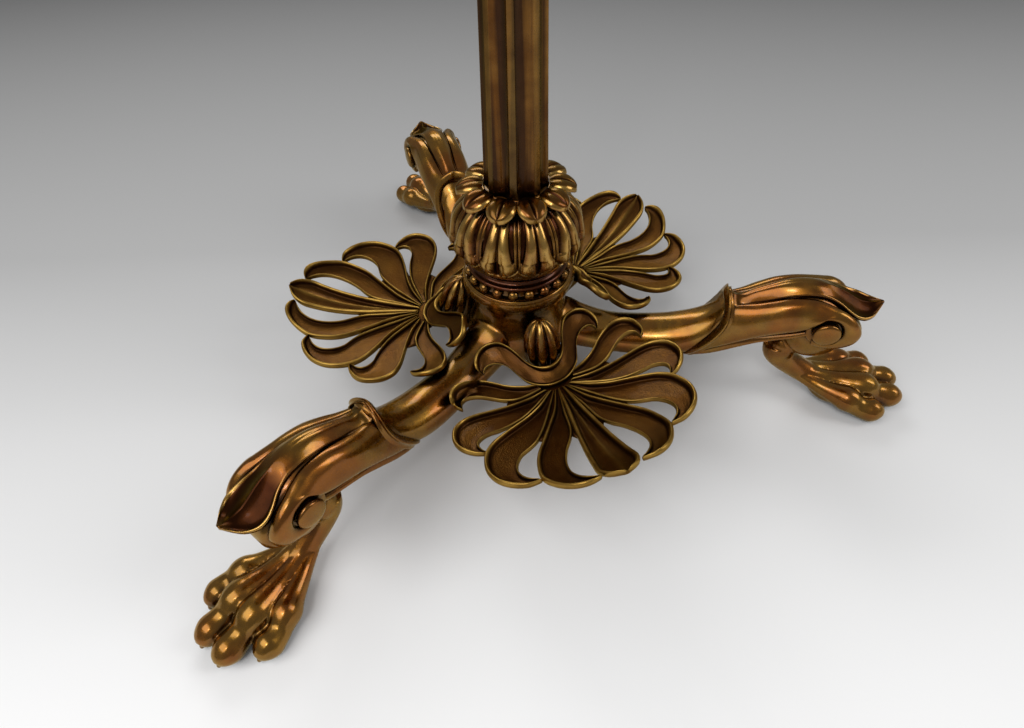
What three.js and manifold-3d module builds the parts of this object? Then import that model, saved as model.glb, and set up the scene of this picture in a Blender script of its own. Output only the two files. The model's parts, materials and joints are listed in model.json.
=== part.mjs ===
// Tripod column stand in cast bronze. Millimetres, +Z up, floor at z = 0.
// The column's axis stands at x = 0, y = AXIS_Y, so that the origin is the middle of the floor box.
// Each leg and each palmette is drawn once in its own frame: +X outwards, +Y across, +Z up.
import * as THREE from 'three';
import { mergeVertices } from 'three/addons/utils/BufferGeometryUtils.js';
import Module from 'manifold-3d';

const wasm = await Module();
wasm.setup();

// Driving dimensions
const AXIS_Y = -50.93;
const HEIGHT = 640;
const GAP = 0.3;
const LEGS = { back: 90, left: 210, right: 330 };
const PALMETTES = { front: 270, right: 30, left: 150 };
const ROD_R = 4;
const BORE_R = 4.4;
const HUB_BOTTOM = 30;
const HUB_TOP = 78;
const DRUM_TOP = 86.3;
const BEADS_TOP = 92.3;
const CAVETTO_TOP = 100;
const KNOP_TOP = 139.5;
const COLUMN_FOOT = 144;
const COLUMN_TOP = 575;
const CAPITAL_TOP = 622;
const LEAF_COUNT = 10;
const LEAF_PHASE = 14.4;
const FLUTE_COUNT = 8;
const FLUTE_PHASE = 18.4;
const BEAD_COUNT = 20;
const SCROLL = { r: 184, z: 70, radius: 13, half: 20.3 };
const SCROLL_FRONT = { r: 191.4, z: 69.4, radius: 13.4 };
const PIN_R = 3;
const PLATE = 3.2;
const BRACKET = { inner: 20, outer: 68, half: 8, bottom: 37.8, top: 42.4 };
// How each palmette is seated on its bracket: degrees about Z, Y and X at its heart, then a shift.
// Where it has to rise over an arm it also leans by the given share of that rise.
const SEATS = {
  front: { turn: -2.1, pitch: 11.2, roll: 8.2, shift: [3.6, -2.4, 4], lean: [0.85, -0.3] },
  right: { turn: 3.3, pitch: -3.6, roll: 0.5, shift: [-2.3, -4.2, 0], lean: [-0.3, -0.3] },
  left: { turn: 0.5, pitch: -1.7, roll: -2.1, shift: [-1.6, 3.8, 0.5], lean: [-0.3, 0.6] },
};
const NUT_SEAT = HEIGHT - 9;

const bronze = new THREE.MeshStandardMaterial({ color: 0x86602c, roughness: 0.38, metalness: 1 });
const darkBronze = new THREE.MeshStandardMaterial({ color: 0x553419, roughness: 0.45, metalness: 1 });
const steel = new THREE.MeshStandardMaterial({ color: 0x9a9a98, roughness: 0.35, metalness: 1 });

const radians = THREE.MathUtils.degToRad;

// Turns a closed geometry into a solid, without doubled points and collapsed triangles.
function solid(geometry) {
  const bare = geometry.clone();
  bare.deleteAttribute('normal');
  bare.deleteAttribute('uv');
  const merged = mergeVertices(bare, 1e-4);
  const faces = [];
  for (let i = 0; i < merged.index.count; i += 3) {
    const [a, b, c] = [0, 1, 2].map((k) => merged.index.getX(i + k));
    if (a !== b && b !== c && c !== a) faces.push(a, b, c);
  }
  const vertProperties = new Float32Array(merged.attributes.position.array);
  const triVerts = new Uint32Array(faces);
  return new wasm.Manifold(new wasm.Mesh({ numProp: 3, vertProperties, triVerts }));
}

function geometryOf(shape) {
  const mesh = shape.getMesh();
  const geometry = new THREE.BufferGeometry();
  geometry.setAttribute('position', new THREE.BufferAttribute(mesh.vertProperties, 3));
  geometry.setIndex(new THREE.BufferAttribute(mesh.triVerts, 1));
  geometry.computeVertexNormals();
  return geometry;
}

// Skins a row of rings, each a list of [x, y, z], and closes both ends on their middle points.
function loft(rings) {
  const count = rings[0].length;
  const points = rings.flat();
  const index = [];
  for (let i = 0; i + 1 < rings.length; i++) {
    for (let j = 0; j < count; j++) {
      const a = i * count + j;
      const b = i * count + ((j + 1) % count);
      index.push(a, b, b + count, a, b + count, a + count);
    }
  }
  for (const [start, flip] of [[0, true], [points.length - count, false]]) {
    const ring = points.slice(start, start + count);
    const middle = [0, 1, 2].map((k) => ring.reduce((sum, p) => sum + p[k], 0) / count);
    const tip = points.push(middle) - 1;
    for (let j = 0; j < count; j++) {
      const a = start + j;
      const b = start + ((j + 1) % count);
      index.push(...(flip ? [b, a, tip] : [a, b, tip]));
    }
  }
  return closed(points, index);
}

// Builds a geometry and turns its triangles outwards.
function closed(points, index) {
  let volume = 0;
  for (let i = 0; i < index.length; i += 3) {
    const [a, b, c] = [0, 1, 2].map((k) => new THREE.Vector3(...points[index[i + k]]));
    volume += a.dot(b.cross(c));
  }
  const outward = volume > 0 ? index : index.slice().reverse();
  const geometry = new THREE.BufferGeometry();
  geometry.setAttribute('position', new THREE.Float32BufferAttribute(points.flat(), 3));
  geometry.setIndex(outward);
  return geometry;
}

// A solid turned about Z from a list of [radius, z]; shape(angle, z) scales the radius.
function turned(profile, segments, shape = () => 1) {
  const rings = profile.map(([radius, z]) => {
    const ring = [];
    for (let j = 0; j < segments; j++) {
      const angle = (2 * Math.PI * j) / segments;
      const r = radius * shape(angle, z);
      ring.push([r * Math.cos(angle), r * Math.sin(angle), z]);
    }
    return ring;
  });
  return solid(loft(rings));
}

function cylinder(radius, bottom, top, segments = 24) {
  return turned([[radius, bottom], [radius, top]], segments);
}

function box(low, high) {
  const size = [0, 1, 2].map((k) => high[k] - low[k]);
  const middle = [0, 1, 2].map((k) => (high[k] + low[k]) / 2);
  return solid(new THREE.BoxGeometry(...size).translate(...middle));
}

function ball([x, y, z], [a, b, c], tilt = 0, segments = 14) {
  const sphere = new THREE.SphereGeometry(1, segments, Math.round(segments * 0.6));
  sphere.rotateX(Math.PI / 2).scale(a, b, c).rotateY(radians(tilt)).translate(x, y, z);
  return solid(sphere);
}

const spin = (shape, degrees) => shape.rotate([0, 0, degrees]);

// A bar across a leg, along Y, at (r, z).
function crossBar(r, z, radius, half, segments = 24) {
  return cylinder(radius, -half, half, segments).rotate([90, 0, 0]).translate([r, 0, z]);
}

// Cross sections as [share of half width, share of half height].
const OVAL = Array.from({ length: 12 }, (_, k) => {
  const angle = (2 * Math.PI * k) / 12;
  return [Math.cos(angle), Math.sin(angle)];
});
const mirrored = (half) => [
  ...half,
  ...half.slice(1, -1).reverse().map(([a, u]) => [-a, u]),
];
const KNEE = mirrored([
  [0, 1], [0.34, 0.95], [0.43, 0.8], [0.52, 0.84], [0.86, 0.66], [1, 0.3], [0.98, -0.15], [0.6, -0.8], [0, -1],
]);
const BEAK = mirrored([
  [0, 1], [0.3, 0.74], [0.55, 0.56], [0.78, 0.46], [0.95, 0.42], [1, 0.1], [0.85, -0.3], [0.5, -0.8], [0, -1],
]);

// A ring of a leg, from the top and bottom points of its mid-plane.
function section([topR, topZ, bottomR, bottomZ, width], shape, grow) {
  const height = Math.hypot(topR - bottomR, topZ - bottomZ) / 2;
  const k = (height + grow) / height;
  const halfR = (k * (topR - bottomR)) / 2;
  const halfZ = (k * (topZ - bottomZ)) / 2;
  const midR = (topR + bottomR) / 2;
  const midZ = (topZ + bottomZ) / 2;
  return shape.map(([a, u]) => [midR + u * halfR, a * (width + grow), midZ + u * halfZ]);
}

const blend = (one, other, share) => one.map(([a, u], i) => [
  a + share * (other[i][0] - a),
  u + share * (other[i][1] - u),
]);

// One arm of the spider: top r, top z, bottom r, bottom z, half width.
const ARM = [
  [6, 58, 6, 31, 9],
  [30, 57, 30, 30, 17],
  [45, 52.6, 45, 28.4, 14.6],
  [66, 50.2, 67, 26, 14.2],
  [91, 52.4, 93, 27, 15],
  [111, 58.8, 114, 36.4, 14],
  [122, 66.5, 126, 42.6, 13.4],
  [131, 73, 136, 50, 12],
];

function arm(grow = 0) {
  const rings = ARM.map((station) => section(station, OVAL, grow));
  if (grow) rings.push(rings.at(-1).map(([x, y, z]) => [x + grow, y, z]));
  return solid(loft(rings));
}

// The knee casting: flared cuff, banded knee and beak, with the last value its share of beak shape.
const KNEE_STATIONS = [
  [127, 81.2, 110.5, 33.6, 16, 0],
  [130.5, 81.8, 114.5, 34, 16.4, 0],
  [133.5, 78, 119, 36.4, 16.4, 0],
  [138, 80.6, 126, 40.6, 17, 0],
  [145, 84.2, 136.5, 47.2, 18, 0],
  [154, 89, 147, 56, 19.2, 0],
  [164, 92.2, 158, 61.6, 19.8, 0],
  [173, 93.2, 170, 61.4, 20.1, 0.1],
  [181, 92.6, 182, 60, 20.2, 0.3],
  [188, 90.4, 192, 60.5, 19.4, 0.6],
  [195, 87.2, 200, 64, 18, 0.9],
  [201, 84.2, 205.5, 69, 15.4, 1],
  [208, 81.8, 210.5, 74.6, 10.8, 1],
  [216, 82.6, 216.6, 79, 2.2, 1],
];

function kneeBody(grow = 0) {
  const rings = KNEE_STATIONS.map(([topR, topZ, bottomR, bottomZ, width, beak]) => (
    section([topR, topZ, bottomR, bottomZ, width], blend(KNEE, BEAK, beak), grow)
  ));
  const scroll = crossBar(SCROLL.r, SCROLL.z, SCROLL.radius + grow, SCROLL.half + grow, 16);
  const front = crossBar(SCROLL_FRONT.r, SCROLL_FRONT.z, SCROLL_FRONT.radius + grow, SCROLL.half + grow, 16);
  return solid(loft(rings)).add(scroll).add(front);
}

const TONGUE = { inner: 177, outer: 191, half: 6, top: 80 };
const CUFF_SCREW = { r: 122, radius: 2.2, bottom: 39.4, top: 53 };

function knee() {
  const slot = box(
    [TONGUE.inner - GAP, -TONGUE.half - GAP, 0],
    [TONGUE.outer + GAP, TONGUE.half + GAP, TONGUE.top + GAP],
  );
  const pinHole = crossBar(SCROLL.r, SCROLL.z, PIN_R + GAP, 40, 10);
  return kneeBody()
    .subtract(arm(GAP))
    .subtract(slot)
    .subtract(pinHole)
    .subtract(cuffScrew(GAP));
}

function cuffScrew(grow = 0) {
  const { r, radius, bottom, top } = CUFF_SCREW;
  return cylinder(radius + grow, grow ? 0 : bottom, top + grow, 8).translate([r, 0, 0]);
}

// A limb through stations of [r, y, z, radius], with the rings square to the path.
function limb(stations, sides) {
  const centres = stations.map(([r, y, z]) => new THREE.Vector3(r, y, z));
  const across = new THREE.Vector3(0, 1, 0);
  const rings = centres.map((centre, i) => {
    const before = centres[Math.max(i - 1, 0)];
    const after = centres[Math.min(i + 1, centres.length - 1)];
    const along = after.clone().sub(before).normalize();
    const up = along.clone().cross(across).normalize();
    const side = up.clone().cross(along).normalize();
    const radius = stations[i][3];
    return Array.from({ length: sides }, (_, j) => {
      const angle = (2 * Math.PI * (j + 0.5)) / sides;
      const point = centre.clone();
      point.addScaledVector(side, radius * Math.cos(angle));
      point.addScaledVector(up, radius * Math.sin(angle));
      return point.toArray();
    });
  });
  return solid(loft(rings));
}

// A toe at distance y from the mid-plane; back is how far it is set back from the middle toes.
function toe(y, back) {
  return limb([
    [200 - back / 3, y * 0.45, 11.6, 6.6],
    [216 - back, y * 0.85, 13.6, 8],
    [227.5 - back, y * 0.94, 14.4, 9],
    [234.5 - back, y, 10.8, 7.2],
    [240 - back, y, 9, 8],
    [246.5 - back, y, 8, 8],
    [252 - back, y, 6.4, 5],
    [254.4 - back, y, 4, 1.8],
  ], 6);
}

function paw() {
  const thigh = ball([188, 0, 51], [23, 16, 18.5], 6, 13);
  const hock = ball([169.5, 0, 38], [10.5, 8.6, 12], 0, 10);
  const shank = limb([
    [167.5, 0, 40, 8.6],
    [170, 0, 33, 8.4],
    [176, 0, 27.5, 7.5],
    [185, 0, 22, 7.2],
    [196, 0, 14.5, 8.5],
    [208, 0, 11, 10],
  ], 8);
  const pad = ball([212, 0, 7.6], [17, 18.5, 8.8], 0, 10);
  const web = ball([222, 0, 10.5], [17, 21, 9], 0, 10);
  const toes = [toe(7.4, 0), toe(-7.4, 0), toe(21.6, 13), toe(-21.6, 13)];
  const body = [hock, shank, pad, web, ...toes].reduce((sum, piece) => sum.add(piece), thigh);
  const tongue = box([TONGUE.inner, -TONGUE.half, 45], [TONGUE.outer, TONGUE.half, TONGUE.top]);
  const pinHole = crossBar(SCROLL.r, SCROLL.z, PIN_R + GAP, 40, 10);
  return body
    .subtract(kneeBody(GAP))
    .subtract(box([100, -60, -30], [300, 60, 0]))
    .add(tongue)
    .subtract(pinHole);
}

// A turned boss on the scroll's outer face, on the side that sign gives.
function button(sign) {
  const face = SCROLL.half + GAP;
  const profile = [
    [7.8, face],
    [7.8, face + 1.4],
    [7, face + 2.2],
    [5, face + 2.5],
    [2.4, face + 2.8],
  ];
  return turned(profile, 16).rotate([sign > 0 ? -90 : 90, 0, 0]).translate([SCROLL.r, 0, SCROLL.z]);
}

// The heart is the middle of a palmette, over the boss that its screw comes up through.
const HEART = { x: 65, z: 46.3, radius: 11, boss: 6.5 };

// The petals lie in this dished surface, which curls up at the tips; x is outwards and y across.
function plateHeight(x, y) {
  const out = x - HEART.x;
  const curl = out > 0 ? 0.049 * out - 0.00237 * out ** 2 + 0.0000444 * out ** 3 : -0.12 * out;
  return HEART.z + curl + 0.00165 * y ** 2;
}

// Petal outlines as an outer and an inner edge, both from the heart to the hooked tip.
const PETALS = [
  {
    outer: [
      [68, 3.5], [82, 10], [92, 17], [104, 26], [113, 32], [122, 35], [131, 36], [139, 33], [146, 28],
      [150.5, 21.5], [151, 15], [148.5, 10],
    ],
    inner: [
      [68, 1.5], [87, 5.5], [101, 8.5], [108, 12], [115, 17], [124, 20.6], [133, 21.8], [140, 19.8],
      [145, 15.4],
    ],
  },
  {
    outer: [
      [67, 6], [76, 17], [82, 27], [86, 37], [89, 44], [93, 51], [98.5, 56], [106, 58.7], [114, 59.3],
      [122.5, 56.5], [129, 51], [133, 44], [133, 39.3], [131.8, 35],
    ],
    inner: [
      [68, 4], [80, 12], [91.4, 20.4], [99.6, 27.2], [103.4, 32.4], [106.6, 39], [112.6, 43.8], [119.6, 45.2],
      [126, 42.8],
    ],
  },
  {
    outer: [
      [65, 8.5], [67.5, 20], [68, 32], [67.3, 44], [67, 53], [68.5, 60.5], [73, 66.3], [79, 69], [86, 69.5],
      [92, 67], [96.5, 62.2], [98.6, 57.5], [98.5, 54.5],
    ],
    inner: [
      [67, 6.5], [73, 17], [78.6, 27.2], [81.6, 36], [83, 43.4], [83.4, 51], [86.4, 56.6], [91, 58.2],
      [95, 57],
    ],
  },
  {
    outer: [
      [59, 12], [57, 18], [54.5, 24], [50.5, 30], [45, 36], [41, 42], [38.7, 49], [39.7, 55.3], [44.5, 60],
      [51, 61.8], [57, 61], [59.8, 57.8],
    ],
    inner: [[63, 10], [64, 18], [64.5, 27], [64, 33.5], [60.5, 40], [56.5, 46], [53.6, 51.4], [54.8, 55.4]],
  },
];
const CENTRE_PETAL = [
  [68, 2], [82, 4], [102, 6.8], [122, 9.3], [137, 10.8], [144, 11.2], [150, 8.5], [153, 4.5],
];
const CENTRE_TIP = 154.8;

// The band stands up round the bud: its upper and lower edge, from the middle to the hook.
const BAND = {
  upper: [
    [54.7, 0, 54.3], [53, 5.6, 54.6], [49.6, 9.8, 56.2], [44, 13, 58.5], [39, 15.2, 61.2], [34.5, 18, 64],
    [31, 21.8, 66.4], [29.8, 26.3, 67.5], [29, 31.5, 66.7], [29.5, 36.5, 64.1], [32.6, 39.8, 61.2],
    [36.5, 40.6, 58], [41, 38.4, 55.3],
  ],
  lower: [
    [65, 0, 47.3], [64.2, 5.5, 47.4], [60.8, 11.4, 47.8], [56.8, 16.5, 50], [51.6, 19.2, 52.4],
    [46.3, 21.7, 55.2], [43, 24.7, 57.4], [40.5, 28.7, 58.6], [39, 33.2, 58.2], [39.6, 36.4, 56.8],
    [41.6, 37.6, 55],
  ],
  thickness: 2.6,
};

const curve = (points, count) => (
  new THREE.SplineCurve(points.map(([x, y]) => new THREE.Vector2(x, y))).getPoints(count)
);

function flat(points) {
  const shape = new THREE.Shape(points);
  return solid(new THREE.ExtrudeGeometry(shape, { depth: PLATE, bevelEnabled: false }));
}

function petal({ outer, inner }, sign) {
  const edge = [...curve(outer, 11), ...curve(inner, 7).reverse()];
  const outline = edge.map(({ x, y }) => new THREE.Vector2(x, sign * y));
  return flat(outline);
}

function centrePetal() {
  const half = curve(CENTRE_PETAL, 7);
  const tip = new THREE.Vector2(CENTRE_TIP, 0);
  return flat([...half, tip, ...half.map(({ x, y }) => new THREE.Vector2(x, -y)).reverse()]);
}

function band() {
  const steps = 12;
  const along = (points) => {
    const path = new THREE.CatmullRomCurve3(points.map((point) => new THREE.Vector3(...point)));
    const half = path.getPoints(steps);
    const other = half.slice(1).map(({ x, y, z }) => new THREE.Vector3(x, -y, z));
    return [...other.reverse(), ...half];
  };
  const upper = along(BAND.upper);
  const lower = along(BAND.lower);
  const rings = upper.map((top, i) => {
    const bottom = lower[i];
    const before = upper[Math.max(i - 1, 0)].clone().add(lower[Math.max(i - 1, 0)]);
    const last = upper.length - 1;
    const after = upper[Math.min(i + 1, last)].clone().add(lower[Math.min(i + 1, last)]);
    const across = bottom.clone().sub(top);
    const normal = after.sub(before).cross(across).normalize();
    if (normal.z > 0) normal.negate();
    const sink = normal.multiplyScalar(BAND.thickness);
    return [top, bottom, bottom.clone().add(sink), top.clone().add(sink)].map((point) => point.toArray());
  });
  return solid(loft(rings));
}

// How far a point of a palmette must rise for the plate to pass over the arm beside it.
function armRise(x, y, z) {
  const along = x * Math.cos(radians(60)) + Math.abs(y) * Math.sin(radians(60));
  const across = Math.abs(y) * Math.cos(radians(60)) - x * Math.sin(radians(60));
  const next = ARM.findIndex((station) => station[0] > along);
  if (next < 1) return 0;
  const share = (along - ARM[next - 1][0]) / (ARM[next][0] - ARM[next - 1][0]);
  const crest = THREE.MathUtils.lerp(ARM[next - 1][1], ARM[next][1], share);
  const half = THREE.MathUtils.lerp(ARM[next - 1][4], ARM[next][4], share) + 2;
  if (Math.abs(across) > half) return 0;
  const fall = 1 - Math.sqrt(1 - (across / half) ** 2);
  const need = crest - 11 * fall - 11 * fall ** 4 + PLATE + GAP - z;
  return (need + Math.hypot(need, 2)) / 2;
}

// Seats a point of a palmette, drawn level, as it stands on its bracket beside the arms.
function seated([x, y, z], { turn, pitch, roll, shift, lean }) {
  const point = new THREE.Vector3(x - HEART.x, y, z - HEART.z)
    .applyAxisAngle(new THREE.Vector3(1, 0, 0), radians(roll))
    .applyAxisAngle(new THREE.Vector3(0, 1, 0), radians(-pitch))
    .applyAxisAngle(new THREE.Vector3(0, 0, 1), radians(turn))
    .add(new THREE.Vector3(HEART.x, 0, HEART.z))
    .add(new THREE.Vector3(...shift));
  const rise = armRise(point.x, point.y, point.z);
  return [point.x + lean[0] * rise, point.y + lean[1] * rise, point.z + rise];
}

function reshaped(shape, move) {
  const mesh = shape.getMesh();
  const points = [];
  for (let i = 0; i < mesh.vertProperties.length; i += 3) {
    points.push(move(...mesh.vertProperties.slice(i, i + 3)));
  }
  return solid(closed(points, Array.from(mesh.triVerts)));
}

function palmette(side) {
  const seat = SEATS[side];
  const heart = cylinder(HEART.radius, 0, PLATE, 16).translate([HEART.x + 3, 0, 0]);
  const petals = PETALS.flatMap((outline) => [petal(outline, 1), petal(outline, -1)]);
  const plate = [centrePetal(), ...petals].reduce((sum, piece) => sum.add(piece), heart);
  const bent = reshaped(plate, (x, y, z) => seated([x, y, z - PLATE + plateHeight(x, y)], seat));
  const rim = reshaped(band(), (x, y, z) => seated([x, y, z], seat));
  const screwPlace = palmetteScrew(side);
  const boss = cylinder(HEART.boss, BRACKET.top + GAP, screwPlace.top, 16).translate([screwPlace.x, 0, 0]);
  return bent
    .add(rim)
    .add(boss)
    .subtract(spin(arm(GAP), 60))
    .subtract(spin(arm(GAP), -60))
    .subtract(cylinder(32, 20, 70, 32))
    .subtract(screwShank(screwPlace, GAP))
    .subtract(bracketBar(GAP, 10));
}

const SCREW = { radius: 1.8, head: 3.6, headHeight: 2.6 };

function palmetteScrew(side) {
  const [x, , z] = SEATS[side].shift;
  return { x: HEART.x + x, y: 0, top: HEART.z - 1.7 + z };
}

function budScrew(side) {
  return { ...budPlace(side), top: 55 };
}

function screwShank({ x, y, top }, grow = 0) {
  return cylinder(SCREW.radius + grow, BRACKET.bottom - 1, top + grow, 8).translate([x, y, 0]);
}

function screw(place) {
  const under = BRACKET.bottom - GAP;
  const head = cylinder(SCREW.head, under - SCREW.headHeight, under, 8);
  return head.translate([place.x, place.y, 0]).add(screwShank(place));
}

function bracketBar(grow = 0, reach = 0) {
  const { inner, outer, half, bottom, top } = BRACKET;
  return box([inner - grow, -half - grow, bottom - grow], [outer + reach + grow, half + grow, top + grow]);
}

function bracket(side) {
  return bracketBar(0, SEATS[side].shift[0] + 2)
    .subtract(screwShank(palmetteScrew(side), GAP))
    .subtract(screwShank(budScrew(side), GAP));
}

// The ribbed bud stands on the bracket inside the band and leans towards the hub.
const BUD = { x: 45.2, ribs: 8, lean: -14 };

function budPlace(side) {
  const [x, y] = SEATS[side].shift;
  return { x: BUD.x + 0.8 * x, y };
}

function bud(side) {
  const { x, y } = budPlace(side);
  const profile = [[4.6, 0], [8.4, 6], [9.7, 14.5], [8.4, 24], [4.4, 32], [1, 35.6]];
  const rib = (angle) => 1 - 0.14 * (1 - Math.abs(Math.sin((BUD.ribs * angle) / 2)));
  const foot = BRACKET.top + GAP;
  const leaning = turned(profile, BUD.ribs * 4, rib)
    .rotate([0, BUD.lean, 0])
    .translate([x, y, foot]);
  return leaning
    .subtract(box([0, -30, 0], [100, 30, foot]))
    .subtract(screwShank(budScrew(side), GAP));
}

function spider() {
  const hub = turned([
    [23, HUB_BOTTOM],
    [29, 34],
    [31.5, 44],
    [30.5, 56],
    [28.6, 65],
    [28.6, 71],
    [31, HUB_TOP],
  ], 24);
  const arms = Object.values(LEGS).map((azimuth) => spin(arm().subtract(cuffScrew(GAP)), azimuth));
  const slots = Object.values(PALMETTES).map((azimuth) => spin(bracketBar(GAP), azimuth));
  const whole = arms.reduce((sum, piece) => sum.add(piece), hub);
  const top = box([-60, -60, HUB_TOP], [60, 60, HUB_TOP + 40]);
  const bore = cylinder(BORE_R, 0, 200, 12);
  return slots.reduce((sum, slot) => sum.subtract(slot), whole.subtract(top)).subtract(bore);
}

// A turned ring with the bore of the tie rod.
const ringPiece = (profile, segments, shape) => (
  turned(profile, segments, shape).subtract(cylinder(BORE_R, 0, HEIGHT + 10, 12))
);

function drumCollar() {
  const foot = HUB_TOP + GAP;
  const profile = [[32.4, foot], [34.1, foot + 1.4], [34.1, foot + 5.6], [33.2, foot + 6.4], [32, DRUM_TOP]];
  return ringPiece(profile, 32);
}

function beadRing() {
  const foot = DRUM_TOP + GAP;
  const core = ringPiece([[28.6, foot], [28.6, BEADS_TOP]], 20);
  const bead = { at: 29.6, radius: 2.9 };
  const beads = Array.from({ length: BEAD_COUNT }, (_, k) => (
    spin(ball([bead.at, 0, foot + bead.radius], [bead.radius, bead.radius, bead.radius], 0, 7),
      (360 / BEAD_COUNT) * (k + 0.5))
  ));
  return beads.reduce((sum, piece) => sum.add(piece), core);
}

function cavettoRing() {
  const foot = BEADS_TOP + GAP;
  const profile = [[30.5, foot], [30.5, 94.4], [27.6, 95.6], [27.2, 97.4], [29.4, 99], [29.6, CAVETTO_TOP]];
  return ringPiece(profile, 32);
}

// Place of an angle inside its leaf, from -0.5 to 0.5, with 0 at the middle.
function leafShare(angle) {
  const turns = ((THREE.MathUtils.radToDeg(angle) - LEAF_PHASE) * LEAF_COUNT) / 360;
  return turns - Math.round(turns);
}

function knop() {
  const profile = [
    [26, CAVETTO_TOP + GAP],
    [35.2, 105],
    [38.8, 113],
    [37.6, 125],
    [31.6, 134.5],
    [21, KNOP_TOP],
  ];
  const rib = (angle, z) => {
    const fade = Math.sin(Math.PI * THREE.MathUtils.clamp((z - CAVETTO_TOP) / 40, 0, 1));
    return 1 - 0.13 * fade * (1 - Math.abs(Math.sin(2 * Math.PI * leafShare(angle))) ** 0.7);
  };
  return ringPiece(profile, LEAF_COUNT * 8, rib);
}

const LIP = { inner: 18.3, outer: 19.9, top: 147 };
const LEAF = { notch: 23.4, reach: 9.6, droop: 0.021, thickness: 2.2 };

function leafCollar() {
  const segments = LEAF_COUNT * 8;
  const level = (radius) => LIP.top - LEAF.droop * (radius - LIP.outer) ** 2;
  const rings = [0, 0.55, 1, 1.001, 0].map((share, k) => {
    const ring = [];
    for (let j = 0; j < segments; j++) {
      const angle = (2 * Math.PI * j) / segments;
      const u = Math.abs(2 * leafShare(angle));
      const rim = LEAF.notch + LEAF.reach * (1 - u ** 2.4) ** 0.6;
      const radius = LIP.outer + share * (rim - LIP.outer);
      const z = level(radius) - (k > 2 ? LEAF.thickness : 0);
      ring.push([radius * Math.cos(angle), radius * Math.sin(angle), z]);
    }
    return ring;
  });
  const leaves = solid(loft(rings));
  const core = turned([[20.5, KNOP_TOP + GAP], [20.5, 143], [LIP.outer, LIP.top]], 20);
  return leaves
    .add(core)
    .subtract(cylinder(LIP.inner, COLUMN_FOOT, 200, 20))
    .subtract(cylinder(BORE_R, 0, 200, 12));
}

// The column swells at its foot and runs almost straight above.
function columnRadius(z) {
  const slim = 11.1;
  const swell = 6.6;
  const fade = 247;
  return slim + swell * Math.exp(-(z - COLUMN_FOOT) / fade);
}

function columnShaft() {
  const pitch = 360 / FLUTE_COUNT;
  const fillet = 14;
  const steps = 5;
  const outline = [];
  for (let k = 0; k < FLUTE_COUNT; k++) {
    const start = FLUTE_PHASE + pitch * k - fillet / 2;
    outline.push([start, 1]);
    for (let step = 0; step < steps; step++) {
      const depth = 0.15 * Math.sin((Math.PI * step) / steps);
      outline.push([start + fillet + ((pitch - fillet) * step) / steps, 1 - depth]);
    }
  }
  const levels = [COLUMN_FOOT + GAP, 180, 225, 280, 350, 440, COLUMN_TOP];
  const rings = levels.map((z) => outline.map(([degrees, share]) => {
    const r = share * columnRadius(z);
    return [r * Math.cos(radians(degrees)), r * Math.sin(radians(degrees)), z];
  }));
  return solid(loft(rings))
    .subtract(cylinder(BORE_R, 0, HEIGHT, 12))
    .subtract(grubScrew(GAP));
}

const GRUB = { azimuth: 276.4, z: 168, radius: 1.5, inner: 4.8, outer: 12.6 };

function grubScrew(grow = 0) {
  const along = cylinder(GRUB.radius + grow, grow ? 0 : GRUB.inner, grow ? 30 : GRUB.outer, 12);
  return spin(along.rotate([0, 90, 0]).translate([0, 0, GRUB.z]), GRUB.azimuth);
}

function capital() {
  const foot = COLUMN_TOP + GAP;
  return ringPiece([
    [12.4, foot],
    [14.4, foot + 2.5],
    [12.4, foot + 5],
    [12, foot + 9],
    [13, foot + 20],
    [17, foot + 31],
    [22.4, foot + 38],
    [23.6, foot + 41],
    [22.4, CAPITAL_TOP],
  ], 24);
}

function topPlate() {
  const foot = CAPITAL_TOP + GAP;
  const profile = [[20, foot], [22, foot + 5], [26.5, foot + 9], [27.4, HEIGHT - 5], [26.4, HEIGHT]];
  const plate = ringPiece(profile, 32);
  return plate.subtract(cylinder(10, NUT_SEAT, HEIGHT + 10));
}

const tieRod = () => cylinder(ROD_R, 15, HEIGHT - 1, 20);
const bottomWasher = () => ringPiece([[15, 26.4], [16, 27.2], [16, HUB_BOTTOM - GAP]], 32);
const hexNut = (radius, bottom, top) => ringPiece([[radius, bottom], [radius, top]], 6);

// Scene graph
const stand = new THREE.Group();
stand.position.y = AXIS_Y;

function place(name, shape, material, azimuth = 0) {
  const mesh = new THREE.Mesh(geometryOf(shape), material);
  mesh.name = name;
  mesh.rotation.z = radians(azimuth);
  stand.add(mesh);
}

place('spider', spider(), bronze);
place('drum_collar', drumCollar(), bronze);
place('bead_ring', beadRing(), bronze);
place('cavetto_ring', cavettoRing(), darkBronze);
place('lobed_knop', knop(), bronze);
place('leaf_collar', leafCollar(), bronze);
place('column_shaft', columnShaft(), bronze);
place('column_grub_screw', grubScrew(), steel);
place('capital', capital(), bronze);
place('top_plate', topPlate(), bronze);
place('tie_rod', tieRod(), steel);
place('bottom_washer', bottomWasher(), steel);
place('bottom_nut', hexNut(9, 18, 26.1), steel);
place('top_nut', hexNut(8, NUT_SEAT + GAP, NUT_SEAT + 6.5), steel);

for (const [side, azimuth] of Object.entries(LEGS)) {
  place(`knee_${side}`, knee(), bronze, azimuth);
  place(`paw_${side}`, paw(), bronze, azimuth);
  place(`volute_button_${side}_1`, button(1), bronze, azimuth);
  place(`volute_button_${side}_2`, button(-1), bronze, azimuth);
  place(`cross_pin_${side}`, crossBar(SCROLL.r, SCROLL.z, PIN_R, SCROLL.half, 10), steel, azimuth);
  place(`cuff_screw_${side}`, cuffScrew(), steel, azimuth);
}

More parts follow.
